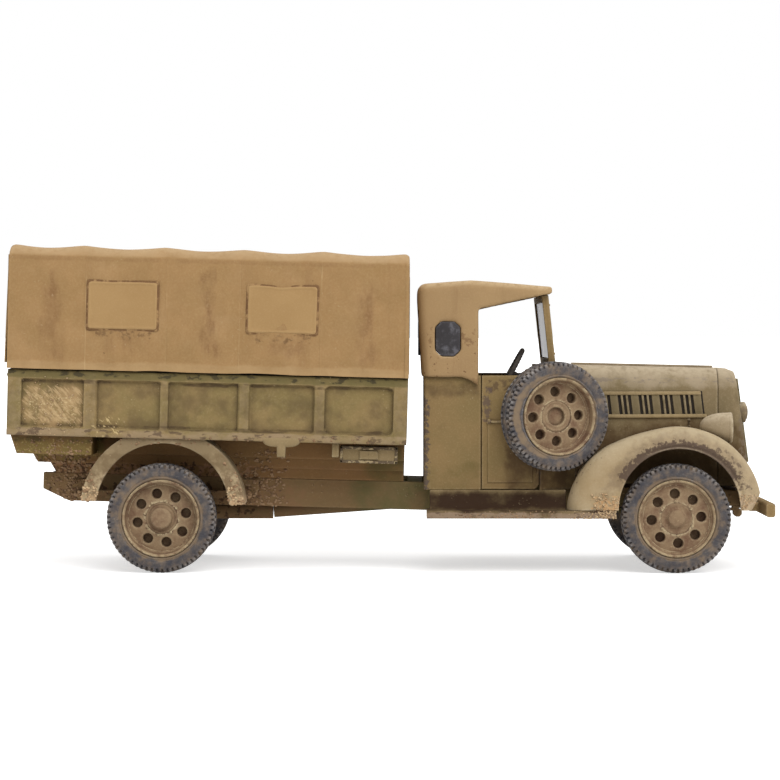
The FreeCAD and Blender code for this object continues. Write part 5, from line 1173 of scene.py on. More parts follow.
@dataclass
class RunningGear:
    """The four road wheels and the spare, each a tyre on its disc."""

    spare_yaw: float = 20.0
    front_depth: float = 0.9
    rear_depth: float = 1.7
    front_cap: float = 0.7
    rear_cap: float = 1.4

    def build(self) -> None:
        """Builds every wheel."""
        for end in ("front", "rear"):
            for side in Side:
                tag = f"{end}_{side.name.lower()}"
                centre = sum(box_of(f"tyre_{tag}"), Vector()) / 2
                out = Vector((0, side.value, 0))
                Tyre(f"tyre_{tag}", f"{tag}_wheel", centre, out).build()
                front = end == "front"
                DiscWheel(f"wheel_{tag}", f"{tag}_wheel", centre, out,
                          self.front_depth if front else self.rear_depth,
                          self.front_cap if front else self.rear_cap,
                          turn=math.radians(4 if front else 11),
                          cap_radius=(1.3 if front else 1.6), nuts=6 if front else 8).build()
        centre = sum(box_of("spare_tyre"), Vector()) / 2
        out = Matrix.Rotation(math.radians(self.spare_yaw), 3, "Z") @ Vector((0, -1, 0))
        Tyre("spare_tyre", CHASSIS, centre, out).build()
        DiscWheel("spare_wheel", CHASSIS, centre, out, self.rear_depth, 0.0, turn=math.radians(2),
                  hub_hollow=0.5).build()


# ------------------------------------------------------------------ load space
@dataclass
class Tilt:
    """The canvas over the bed: it sags between its hoops and hangs in soft folds.

    Its sizes are in millimetres, with heights over the rails' top.
    """

    rear: float = -58.0
    front: float = 2.4
    half: float = 19.3
    top: float = 34.8
    foot: float = 16.1
    shoulder: float = 2.2
    wall: float = 0.9
    sag: float = 0.42
    hoops: tuple[float, ...] = (-58.0, -46.8, -34.8, -22.8, -10.8, 2.4)
    seams: tuple[float, ...] = (-46.3, -34.2, -23.2, -11.0, 1.9)
    crease: float = 1.9
    stations: int = 170
    side_steps: int = 46
    bend_steps: int = 9
    roof_steps: int = 30
    curtain_half: float = 17.9
    curtain_foot: float = 17.0
    curtain_top: float = 33.2
    curtain_wall: float = 0.22
    flap_width: float = 10.35
    flap_height: float = 7.1
    flap_foot: float = 22.35
    flap_middles: Pair = (-40.8, -16.8)

    def build(self) -> None:
        """Builds the cover, its front wall, the strips of painted shade behind its hem, its flaps and the
        rear curtain.
        """
        mesh = bmesh.new()
        add_grid(mesh, [self._row(share) for share in self._shares()])
        thicken(mesh, self.wall * MM)
        self._add_front_wall(mesh)
        finished("cover_canvas", mesh, CANVAS, 50, "bed_cover")
        self._build_hem_gap_shade()
        self._build_flaps()
        self._build_curtain()

    def _shares(self) -> list[float]:
        """Gives the places of the sections, 0 to 1, closer together at the seams.

        Returns:
            The places, in order.
        """
        shares = {station / self.stations for station in range(self.stations + 1)}
        length = self.front - self.rear
        for aside in (0.04, 0.1, 0.18, 0.27, 0.5):
            shares.update((aside / length, 1 - aside / length))
        for seam in self.seams:
            for aside in (-0.24, -0.14, -0.07, 0.0, 0.07, 0.14, 0.24):
                shares.add((seam + aside - self.rear) / length)
        return sorted(shares)

    def _section(self) -> list[Point]:
        """Gives the section from one foot over the roof to the other.

        Returns:
            Across, height over the foot and how far round each point is, -1 to 1.
        """
        rise = self.top - self.foot
        bend = self.shoulder
        half = [(self.half, (rise - bend) * (step / self.side_steps) ** 1.15)
                for step in range(self.side_steps)]
        for step in range(self.bend_steps):
            turn = math.pi / 2 * step / self.bend_steps
            half.append((self.half - bend + bend * math.cos(turn), rise - bend + bend * math.sin(turn)))
        half += [((self.half - bend) * (1 - step / self.roof_steps), rise)
                 for step in range(self.roof_steps + 1)]
        right = [(-across, high, -1.0) for across, high in half]
        left = [(across, high, 1.0) for across, high in half[-2::-1]]
        return right + left

    def _sag_at(self, along: float) -> float:
        """Gives how slack the canvas is at a place along the bed, 0 on a hoop.

        Args:
            along: Place along the bed.

        Returns:
            The slack, 0 to 1.
        """
        for rear, front in zip(self.hoops, self.hoops[1:]):
            if rear <= along <= front:
                share = (along - rear) / (front - rear)
                return math.sin(math.pi * share) ** 1.3
        return 0.0

    def _row(self, share: float) -> list[Vector]:
        """Gives one section of the skin.

        Args:
            share: 0 at the back of the cover, 1 at its front.

        Returns:
            The section's points in the model's frame.
        """
        along = self.rear + (self.front - self.rear) * share
        slack = self._sag_at(along)
        rise = self.top - self.foot
        end = min(share, 1 - share) * (self.front - self.rear)
        points = []
        for across, high, side in self._section():
            up = high / rise
            spot = Vector((along, across * 0.4, high * 0.3))
            on_roof = 1.0 if high > rise - 0.01 else max(0.0, (up - 0.86) / 0.14)
            fold = unevenness(Vector((along, across * 0.05, high * 0.16)), 2.6, side)
            drape = unevenness(spot, 7, side * 3)
            hollow = slack * (0.16 * math.sin(math.pi * up) + 0.05)
            out = (0.07 * fold * (1 - up * 0.4) + 0.08 * drape) - hollow * (1 - on_roof)
            if high < 1.05 and 0.8 < high:
                out -= 0.07
            if end < 0.7:
                out += 0.07
            crease = math.exp(-((high - (rise - self.crease)) / 0.2) ** 2)
            out -= 0.09 * crease * (1 + 0.4 * fold)
            seam = min(abs(along - place + 0.05 * fold) for place in self.seams)
            out += 0.05 * math.exp(-(seam / 0.11) ** 2)
            wave = 0.22 * max(0.0, unevenness(Vector((along, side / MM, 0)), 6, 5))
            wave *= (1 - min(up * 6, 1)) * min(1.0, end / 5)
            drop = on_roof * (self.sag * slack - 0.06 * drape - 0.03 * fold)
            corner = max(0.0, 1 - end / 0.9)
            drop += on_roof * 0.6 * (1 - math.sqrt(1 - corner * corner))
            lean = 0.35 * up * max(0.0, 1 - (self.front - along) / 6)
            width = across + math.copysign(out * (1 - on_roof), across) if across else 0.0
            points.append(pitched(along - lean, width, self.foot + high + wave - drop))
        return points

    def _add_front_wall(self, mesh: Mesh) -> None:
        """Closes the front with a wall of canvas, a little slack.

        Args:
            mesh: The cover's mesh.
        """
        rise = self.top - self.foot
        rows = []
        for shrink in (0.985, 0.95, 0.85, 0.65, 0.4, 0.15):
            row = []
            for across, high, _side in self._section()[::2]:
                slack = 0.25 * (1 - shrink) + 0.05 * unevenness(
                    Vector((across, high, 0)) * shrink, 5, 9)
                slack += 0.35 * high * shrink / rise
                row.append(pitched(self.front - 0.08 - slack, across * shrink,
                                   self.foot + 0.02 * rise + high * shrink * 0.98))
            rows.append(row)
        grid = add_grid(mesh, rows)
        mesh.faces.new(grid[-1])

    def _build_hem_gap_shade(self) -> None:
        """Builds dark strips behind the hem, inside the bed's sides: painted shade in the gap under the
        canvas.
        """
        mesh = bmesh.new()
        inner = self.half - self.wall - 0.25
        for side in Side:
            for vertex in add_box(mesh, (self.rear + 0.4, inner - 0.3, 15.0),
                                  (self.front - 0.5, inner, 17.6), bevel=0.08):
                across = side.value * vertex.co.y
                vertex.co = pitched(vertex.co.x, across, vertex.co.z)
        finished("hem_gap_shade", mesh, PAINTED_SHADE, 40)

    def _build_flaps(self) -> None:
        """Builds the four window flaps, two on each side, each in a dark line that is painted shadow and
        pooled wash round the raised flap.
        """
        mesh = bmesh.new()
        shade_lines = bmesh.new()
        width, height, low = self.flap_width, self.flap_height, self.flap_foot
        middle_z = low + height / 2
        profile = ((0.0, -0.4), (0.0, 0.06), (0.05, 0.15), (0.14, 0.2), (0.3, 0.2), (0.42, 0.15),
                   (0.6, 0.14), (1.1, 0.15), (1.9, 0.17), (2.7, 0.18), (3.3, 0.18))
        # Section of the dark line round the flap, which paints its shadow.
        border = ((-0.28, -0.4), (-0.28, 0.0), (-0.18, 0.09), (0.1, 0.1), (0.4, 0.05))
        layers = ((mesh, profile), (shade_lines, border))
        for number, (middle, side, (layer, steps)) in enumerate(
                product(self.flap_middles, Side, layers)):
            number //= 4
            outline = rounded_outline(middle, middle_z, width, height, 0.45, 9)
            seed = number * 3.1 + side.value
            rings = []
            for inset, rise in steps:
                ring = []
                for x, z in outline:
                    dip = 0.16 * math.exp(-((x - middle) / 1.6) ** 2) * number
                    top = max(0.0, (z - low) / height)
                    x_in, z_in = pull_in(x, z, middle, middle_z, width, height, inset)
                    wobble = 0.06 * unevenness(Vector((x, 0, z)), 2.4, seed)
                    out = rise + 0.03 * unevenness(Vector((x_in, 0, z_in)), 1.8, seed)
                    ring.append(pitched(x_in + wobble, side.value * (self.half + 0.08 + out),
                                        z_in - dip * top + wobble))
                rings.append(ring)
            add_ends(layer, add_grid(layer, rings, closed_columns=True))
        finished("window_flaps", mesh, FLAP_CANVAS, 60, "cover_flaps")
        finished("flap_shade_lines", shade_lines, FLAP_SHADE_LINE, 60)

    def _build_curtain(self) -> None:
        """Builds the rear curtain, which hangs in upright folds over the tailgate."""
        mesh = bmesh.new()
        rows = []
        for row in range(41):
            up = row / 40
            line = []
            for column in range(121):
                across = self.curtain_half * (column / 60 - 1)
                free = max(0.0, 1 - up * 1.2)
                fold = 0.16 * math.sin(across / 0.95 + 1.3 * math.sin(across / 3.1))
                out = (0.2 * free + fold * (0.25 + 0.75 * free))
                hem = 0.18 * unevenness(Vector((across, 0, 0)), 4, 2) * (1 - up) ** 2
                rise = self.curtain_foot + (self.curtain_top - self.curtain_foot) * up
                line.append(pitched(self.rear - 0.3 - max(out, -0.1), across, rise + hem))
            rows.append(line)
        add_grid(mesh, rows)
        thicken(mesh, self.curtain_wall * MM)
        finished("curtain_canvas", mesh, CANVAS, 50, "rear_curtain")


def rounded_outline(middle_x: float, middle_z: float, width: float, height: float, radius: float,
                    steps: int) -> list[Pair]:
    """Gives points round a rectangle with rounded corners, evenly thick along its sides.

    Args:
        middle_x: Its middle along X.
        middle_z: Its middle along Z.
        width: Its size along X.
        height: Its size along Z.
        radius: Rounding of the corners.
        steps: Points in each corner, and on each side.

    Returns:
        The points, anticlockwise.
    """
    corners = []
    for number, (to_x, to_z) in enumerate(((1, 1), (-1, 1), (-1, -1), (1, -1))):
        centre = Vector((middle_x + to_x * (width / 2 - radius), middle_z + to_z * (height / 2 - radius)))
        corners.append([centre + spoke(radius, math.pi / 2 * (number + step / (steps - 1))).xy
                        for step in range(steps)])
    points = []
    for corner, ahead in zip(corners, corners[1:] + corners[:1]):
        points += corner
        points += [corner[-1].lerp(ahead[0], step / (steps * 2)) for step in range(1, steps * 2)]
    return [(point.x, point.y) for point in points]


def pull_in(x: float, z: float, middle_x: float, middle_z: float, width: float, height: float,
            inset: float) -> Pair:
    """Moves a point of a rectangle's outline inwards by an even inset."""
    return (middle_x + (x - middle_x) * (1 - 2 * inset / width),
            middle_z + (z - middle_z) * (1 - 2 * inset / height))


# ------------------------------------------------------------------------- cab
@dataclass
class CabTop:
    """The canvas hood over the cab, one soft sheet with rolled edges, and its seat."""

    voxel: float = 0.24 * MM
    wrinkle: float = 0.07 * MM

    def build(self) -> None:
        """Builds the canvas roof and the bench seat."""
        roof = self._remeshed("cab_roof", self.voxel, 4)
        low, high = box_of("cab_roof")
        for vertex in roof.verts:
            spot = vertex.co
            fold = unevenness(Vector((spot.x, spot.y * 0.4, spot.z * 0.3)), 2.4 * MM, 1)
            soft = unevenness(spot, 5 * MM, 4)
            side = min(1.0, max(0.0, (high.z - spot.z) / (5 * MM)))
            vertex.co = spot + vertex.normal * (self.wrinkle * (fold * side + soft * 0.8))
        self._lean_back(roof, low, high)
        finished("cab_canvas", roof, CAB_CANVAS, 60, "cab_roof")
        self._build_seat()

    def _lean_back(self, roof: Mesh, low: Vector, high: Vector) -> None:
        """Draws the foot of the canvas's back forward.

        Args:
            roof: The canvas.
            low: Its lowest corner.
            high: Its highest corner.
        """
        for vertex in roof.verts:
            behind = max(0.0, 1 - (vertex.co.x - low.x) / (2.6 * MM))
            down = max(0.0, (high.z - 3 * MM - vertex.co.z) / (high.z - 3 * MM - low.z))
            vertex.co.x += 0.8 * MM * down * min(1.0, behind * 1.4)

    def _remeshed(self, node: str, voxel: float, smoothing: int) -> Mesh:
        """Copies a solid as an even mesh with soft edges.

        Args:
            node: The solid.
            voxel: Size of the new mesh's faces.
            smoothing: How often it is smoothed.

        Returns:
            The new mesh.
        """
        start = bpy.data.objects.new("remesh_work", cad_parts[node].data.copy())
        bpy.context.scene.collection.objects.link(start)
        remesh = start.modifiers.new("voxels", "REMESH")
        remesh.mode = "VOXEL"
        remesh.voxel_size = voxel
        soft = start.modifiers.new("smooth", "SMOOTH")
        soft.factor = 0.5
        soft.iterations = smoothing
        graph = bpy.context.evaluated_depsgraph_get()
        mesh = bmesh.new()
        mesh.from_mesh(start.evaluated_get(graph).to_mesh())
        mesh.normal_update()
        bpy.data.objects.remove(start, do_unlink=True)
        return mesh

    def _build_seat(self) -> None:
        """Builds the bench with its stitched channels."""
        seat = self._remeshed("seat", 0.28 * MM, 5)
        low, high = box_of("seat")
        middle = (low + high) / 2
        for vertex in seat.verts:
            spot = vertex.co
            channel = abs(((spot.y / (2.1 * MM)) % 1.0) - 0.5) * 2
            seam = math.exp(-((1 - channel) / 0.14) ** 2)
            crown = 0.12 * MM * math.cos((spot.y - middle.y) / (high.y - low.y) * math.pi)
            upper = 1.0 if spot.z > low.z + 3 * MM else 0.0
            vertex.co = spot + vertex.normal * (upper * (crown * 0.4 - seam * 0.22 * MM))
        finished("bench_seat", seat, SEAT_BROWN, 60, "seat")


@dataclass
class Steering:
    """The steering wheel and its column."""

    centre: Vector = field(default_factory=lambda: Vector((18.6, -6.5, 30.3)) * MM)
    tilt: float = 28.0
    radius: float = 3.8
    section: float = 0.36

    def build(self) -> None:
        """Builds a round rim with grips, three spokes, a boss and the column."""
        mesh = bmesh.new()
        place = Matrix.Translation(self.centre) @ Matrix.Rotation(
            math.radians(90 + self.tilt), 4, "Y") @ Matrix.Scale(MM, 4)
        rows = []
        for number in range(72):
            turn = math.tau * number / 72
            grip = self.section * (1 + 0.07 * math.cos(turn * 36))
            ring = []
            for side in range(12):
                angle = math.tau * side / 12
                reach = self.radius + grip * math.cos(angle)
                ring.append(place @ spoke(reach, turn, grip * math.sin(angle)))
            rows.append(ring)
        add_grid(mesh, rows, closed_rows=True, closed_columns=True)
        for arm in range(3):
            turn = math.tau * arm / 3 + math.pi
            path = [place @ spoke(reach, turn, dip)
                    for reach, dip in ((0.3, 0.1), (1.6, 0.04), (self.radius, 0))]
            add_tube(mesh, path, 0.22 * MM, 8)
        boss = ((0.82, -0.5), (0.86, -0.1), (0.7, 0.24), (0.46, 0.34), (0.3, 0.36))
        add_ends(mesh, add_lathe(mesh, boss, place, 24))
        end_x = 27.15 * MM
        fall = (end_x - self.centre.x) * math.tan(math.radians(self.tilt))
        foot = Vector((end_x, self.centre.y, self.centre.z - fall))
        add_tube(mesh, [self.centre, self.centre.lerp(foot, 0.5), foot], 0.42 * MM, 16)
        finished("steering_rim", mesh, DARK_WASH, 50, "steering_wheel")


# --------------------------------------------------------------------- fenders
@dataclass
class FrontFender:
    """A front fender: a crowned sweep with a rolled lip round the wheel arch."""

    side: Side
    foot: Pair = (26.7, 9.6)
    brow: Pair = (34.2, 19.7)
    top: Pair = (42.8, 22.1)
    nose: Pair = (56.0, 12.2)
    tip: Pair = (54.6, 9.6)
    radii: tuple[float, ...] = (11.7, 32.0, 12.55)
    arch: Point = (43.6, 9.7, 9.2)
    outer: float = 18.0
    crown: float = 2.6
    wall: float = 0.7

    def build(self) -> None:
        """Builds the fender's outer and inner skins as one closed shell."""
        mesh = bmesh.new()
        rows = [self._row(*place, 0.0) + self._row(*place, self.wall)[::-1] for place in self._outline()]
        grid = add_grid(mesh, rows, closed_columns=True)
        mesh.faces.new(grid[0])
        mesh.faces.new(grid[-1][::-1])
        name = f"front_fender_{self.side.name.lower()}"
        finished(f"{name}_pressing", mesh, FENDER_OLIVE, 55, name)

    def _arc(self, start: Pair, end: Pair, radius: float,
             steps: int) -> list[Pair]:
        """Gives points on the arc that bulges up and outwards between two points.

        Args:
            start: Its first point.
            end: Its last point.
            radius: Its radius.
            steps: Points on it, the last left out.

        Returns:
            The points.
        """
        first = Vector(start)
        last = Vector(end)
        chord = last - first
        middle = (first + last) / 2
        reach = math.sqrt(max(radius ** 2 - (chord.length / 2) ** 2, 0))
        inward = Vector((chord.y, -chord.x)).normalized()
        centre = middle + inward * reach
        begin = math.atan2(first.y - centre.y, first.x - centre.x)
        finish = math.atan2(last.y - centre.y, last.x - centre.x)
        if finish > begin:
            finish -= math.tau
        turns = [begin + (finish - begin) * step / steps for step in range(steps)]
        return [(centre.x + radius * math.cos(turn), centre.y + radius * math.sin(turn)) for turn in turns]

    def _outline(self) -> list[tuple[float, float, float, float]]:
        """Gives points of the fender's back, each with its outward direction.

        Returns:
            Place along X and Z, and outward direction along X and Z.
        """
        points = self._arc(self.foot, self.brow, self.radii[0], 34)
        points += self._arc(self.brow, self.top, self.radii[1], 26)
        points += self._arc(self.top, self.nose, self.radii[2], 46)
        points += [self.nose, (55.75, 11.4), (55.25, 10.5), self.tip]
        result = []
        for number, (x, z) in enumerate(points):
            before = points[max(number - 1, 0)]
            after = points[min(number + 1, len(points) - 1)]
            along = Vector((after[0] - before[0], after[1] - before[1])).normalized()
            out = Vector((-along.y, along.x))
            if number >= len(points) - 4:
                out = Vector((0.97, 0.24))
            result.append((x, z, out.x, out.y))
        return result

    def _inner_at(self, x: float) -> float:
        """Gives the inner edge of the fender, beside cowl, hood or radiator.

        Args:
            x: Place along the truck.

        Returns:
            The edge's distance from the middle.
        """
        if x < 28.35:
            return 14.1
        if x < 50.5:
            return 10.42 + (7.62 - 10.42) * (x - 28.3) / 22.2
        return 7.62

    def _row(self, x: float, z: float, out_x: float, out_z: float, inset: float) -> list[Vector]:
        """Gives the section of one skin at one point of the outline.

        Args:
            x: Along the truck.
            z: Over the ground.
            out_x: Outward direction there, along the truck.
            out_z: Outward direction there, upwards.
            inset: How far the skin lies inside the fender's outside.

        Returns:
            Points from the inner edge over the crown down to the arch.
        """
        points = []
        inner = self._inner_at(x)
        arch_x, arch_z, arch_r = self.arch
        room = math.hypot(x - arch_x, z - arch_z) - arch_r - 0.4
        crown = min(self.crown, max(room, 0.8))
        inset = min(inset, crown * 0.6)
        edge = self.outer - crown
        for step in range(9):
            share = step / 8
            across = inner + (edge - inner) * share
            drop = inset + 0.22 * (1 - math.sin(math.pi * share * 0.5))
            points.append((x - out_x * drop, across, z - out_z * drop))
        for step in range(1, 11):
            turn = math.pi / 2 * step / 10
            drop = inset + (crown - inset) * (1 - math.cos(turn))
            points.append((x - out_x * drop, edge + (crown - inset) * math.sin(turn), z - out_z * drop))
        from_x = x - out_x * crown
        from_z = z - out_z * crown
        away = Vector((from_x - arch_x, from_z - arch_z))
        if away.length < arch_r + 0.3:
            away = away.normalized() * (arch_r + 0.3)
        lip = away.normalized() * arch_r
        for step in range(1, 15):
            share = step / 14
            spot = away.lerp(lip, share)
            sink = 0.16 * math.sin(math.pi * min(share * 1.15, 1.0)) if share < 0.9 else 0.0
            points.append((arch_x + spot.x, self.outer - inset - sink, arch_z + spot.y))
        placed = []
        for along, across, high in points:
            spot = Vector((along, across * self.side.value, max(high, 9.62))) * MM
            low = max(0.0, 1 - (high - 9.6) / 3.5)
            crust = 0.09 * MM * low * unevenness(spot, 0.5 * MM, 3)
            dent = 0.07 * MM * unevenness(spot, 5 * MM, 7)
            aside = self.side.value * (dent * 0.5 + crust)
            placed.append(spot + Vector((out_x * dent, aside, out_z * dent)))
        return placed


@dataclass
class Wings:
    """The front fenders and the lamps on them.  The lamps' sizes are in millimetres."""

    lamp: Vector = field(default_factory=lambda: Vector((47.2, 12.0, 21.9)) * MM)
    lamp_radius: float = 2.35
    lamp_length: float = 4.9

    def build(self) -> None:
        """Builds fenders and lamps."""
        for side in Side:
            FrontFender(side).build()
            self._build_lamp(side)
        self._build_lenses()

    def _lamp_frame(self, side: Side) -> Matrix:
        """Gives the frame of a lamp whose axis, Z before it is placed, looks forward."""
        place = Vector((self.lamp.x, self.lamp.y * side.value, self.lamp.z))
        return Matrix.Translation(place) @ Matrix.Rotation(math.pi / 2, 4, "Y") @ Matrix.Scale(MM, 4)

    def _build_lamp(self, side: Side) -> None:
        """Builds one bullet-shaped lamp with its rim.

        Args:
            side: The side that it stands on.
        """
        mesh = bmesh.new()
        reach = self.lamp_length
        radius = self.lamp_radius
        profile = []
        for step in range(1, 17):
            turn = math.pi / 2 * (step / 16)
            profile.append((radius * 0.98 * math.sin(turn) ** 0.85,
                            reach * 0.86 * (1 - math.cos(turn) ** 0.9)))
        profile += [(radius * 0.98, reach * 0.88), (radius, reach * 0.9), (radius, reach * 0.98),
                    (radius * 0.96, reach), (radius * 0.86, reach), (radius * 0.84, reach * 0.95),
                    (radius * 0.82, reach * 0.945)]
        add_ends(mesh, add_lathe(mesh, profile, self._lamp_frame(side), 48))
        name = f"headlight_{side.name.lower()}"
        finished(f"{name}_bowl", mesh, LAMP_OLIVE, 60, name)

    def _build_lenses(self) -> None:
        """Builds both domed lenses with their fluting."""
        mesh = bmesh.new()
        for side in Side:
            place = self._lamp_frame(side)
            rows = []
            for step in range(1, 10):
                share = step / 9
                reach = self.lamp_radius * 0.83 * share
                line = []
                for number in range(48):
                    turn = math.tau * number / 48
                    flute = 0.035 * math.cos(reach * math.cos(turn) / (0.12)) * (1 - share)
                    dome = self.lamp_length * 0.95 + 0.42 * (1 - share ** 2) + flute
                    line.append(place @ spoke(reach, turn, dome))
                rows.append(line)
            add_ends(mesh, add_grid(mesh, rows, closed_columns=True))
        finished("fluted_lenses", mesh, PANE_PALE, 60, "headlight_lenses")


# ----------------------------------------------------------------- cast pieces
@dataclass
class Castings:
    """The rigid solids of the body, each with its edges rounded as in a casting."""

    rounding: dict[str, float] = field(default_factory=lambda: {
        "tailgate": 0.13, "headboard": 0.13, "running_board_left": 0.18, "running_board_right": 0.18,
        "front_bumper": 0.22, "cab_quarter_left": 0.16, "cab_quarter_right": 0.16,
        "door_left": 0.1, "door_right": 0.1, "cab_tub": 0.14, "windscreen_frame": 0.12,
        "rail_left": 0.14, "rail_right": 0.14, "bearers": 0.12, "cross_members": 0.12,
        "engine_block": 0.25, "front_axle": 0.16, "dashboard": 0.16, "cab_panes": 0.1,
        "rear_fender_left": 0.12, "rear_fender_right": 0.12,
    })

    def build(self) -> None:
        """Builds every cast piece in its solid's place."""
        for node, width in self.rounding.items():
            mesh = copy_of(node)
            soften_edges(mesh, width * MM)
            finished(f"{node}_cast", mesh, finish_of(node), 42, node)


def finish_of(node: str) -> BrushedPaint:
    """Gives the paint of a solid.

    Args:
        node: The solid's name.

    Returns:
        Its finish, or the plain olive.
    """
    for finish, nodes in FINISHES.items():
        if node in nodes:
            return finish
    return OLIVE


# -------------------------------------------------------------------- load bed
@dataclass
class BedSides:
    """The bed's two sides: rails and posts in relief around five sunk panels."""

    rear: float = -57.9
    front: float = 2.3
    foot: float = 6.05
    top: float = 15.95
    face: float = 19.0
    back: float = 17.8
    panels: tuple[Point, ...] = (
        (-55.8, -46.4, 0.3), (-44.5, -34.9, 0.3), (-33.7, -23.1, 0.3), (-21.5, -11.7, 0.35),
        (-10.2, 0.2, 0.9))
    panel_foot: float = 7.4
    panel_top: float = 14.6
    depth: float = 0.55
    slope: float = 0.16
    step: float = 0.16

    def build(self) -> None:
        """Builds both sides."""
        for side in Side:
            mesh = bmesh.new()
            count = round((self.top - self.foot) / self.step)
            rows = [self._row(self.foot + (self.top - self.foot) * number / count, side)
                    for number in range(count + 1)]
            add_ends(mesh, add_grid(mesh, rows, closed_columns=True))
            name = f"bed_side_{side.name.lower()}"
            finished(f"{name}_panelled", mesh, BED_OLIVE, 50, name)

    def _row(self, high: float, side: Side) -> list[Vector]:
        """Gives one level section through a side, closed round its back.

        Args:
            high: Height over the rails' top.
            side: Which side.

        Returns:
            Its points in the model's frame.
        """
        count = round((self.front - self.rear) / self.step)
        row = []
        for number in range(count + 1):
            along = self.rear + (self.front - self.rear) * number / count
            out = self.face - self._sunk(along, high) + self._roughness(along, high, side)
            row.append(pitched(along, side.value * out, high))
        for along in (self.front, self.rear):
            row.append(pitched(along, side.value * self.back, high))
        return row

    def _sunk(self, along: float, high: float) -> float:
        """Gives how far the face lies back at a point, for panels and rounded borders.

        Args:
            along: Place along the bed.
            high: Height over the rails' top.

        Returns:
            The depth under the posts' face.
        """
        depth = 0.0
        middle_z = (self.panel_foot + self.panel_top) / 2
        half_z = (self.panel_top - self.panel_foot) / 2
        for start, end, corner in self.panels:
            over_x = abs(along - (start + end) / 2) - (end - start) / 2 + corner
            over_z = abs(high - middle_z) - half_z + corner
            outside = math.hypot(max(over_x, 0), max(over_z, 0)) + min(max(over_x, over_z), 0) - corner
            share = min(max(-outside / self.slope, 0.0), 1.0)
            depth = max(depth, self.depth * share * share * (3 - 2 * share))
        border = min(along - self.rear, self.front - along, high - self.foot, self.top - high)
        rounding = 0.16 * max(0.0, 1 - border / 0.3) ** 2
        ledge = 0.0 if high < 7.0 else 0.12
        return depth + rounding + ledge

    def _roughness(self, along: float, high: float, side: Side) -> float:
        """Gives the small bumps and dents of the casting at a point.

        Args:
            along: Place along the bed.
            high: Height over the rails' top.
            side: Which side.

        Returns:
            How far the face stands out there.
        """
        spot = Vector((along, side.value * 3, high))
        bumps = 0.035 * unevenness(spot, 1.6, 1) + 0.02 * unevenness(spot, 0.5, 2)
        crust = 0.13 * max(0.0, unevenness(spot, 0.55, 6) - 0.12)
        return bumps + crust * (1.0 if high < 7.4 or along < -46 else 0.25)


@dataclass
class Toolboxes:
    """The low boxes under the bed, each with a framed lid and a catch."""

    drop: float = 0.45
    face: float = 17.0
    border: float = 0.42

    def build(self) -> None:
        """Builds both boxes, a dark gap over each."""
        mesh = copy_of("toolboxes")
        middle = sum(vertex.co.z for vertex in mesh.verts) / len(mesh.verts)
        for vertex in mesh.verts:
            if vertex.co.z > middle:
                vertex.co.z -= self.drop * MM
        level = Matrix.Rotation(-PITCH, 4, "Y")
        spots = [level @ (vertex.co - PITCH_PIVOT) / MM for vertex in mesh.verts]
        rear, front = min(spot.x for spot in spots), max(spot.x for spot in spots)
        foot, top = min(spot.z for spot in spots), max(spot.z for spot in spots)
        soften_edges(mesh, 0.12 * MM)
        wide = self.border
        strips = ((rear, foot, front, foot + wide), (rear, top - wide, front, top),
                  (rear, foot, rear + wide, top), (front - wide, foot, front, top))
        for side in Side:
            for start, low, end, high in strips:
                for vertex in add_box(mesh, (start, self.face - 0.1, low), (end, self.face + 0.16, high),
                                      bevel=0.07):
                    along, across, rise = vertex.co
                    vertex.co = pitched(along, side.value * across, rise)
        finished("toolboxes_lidded", mesh, LUG_OLIVE, 42, "toolboxes")


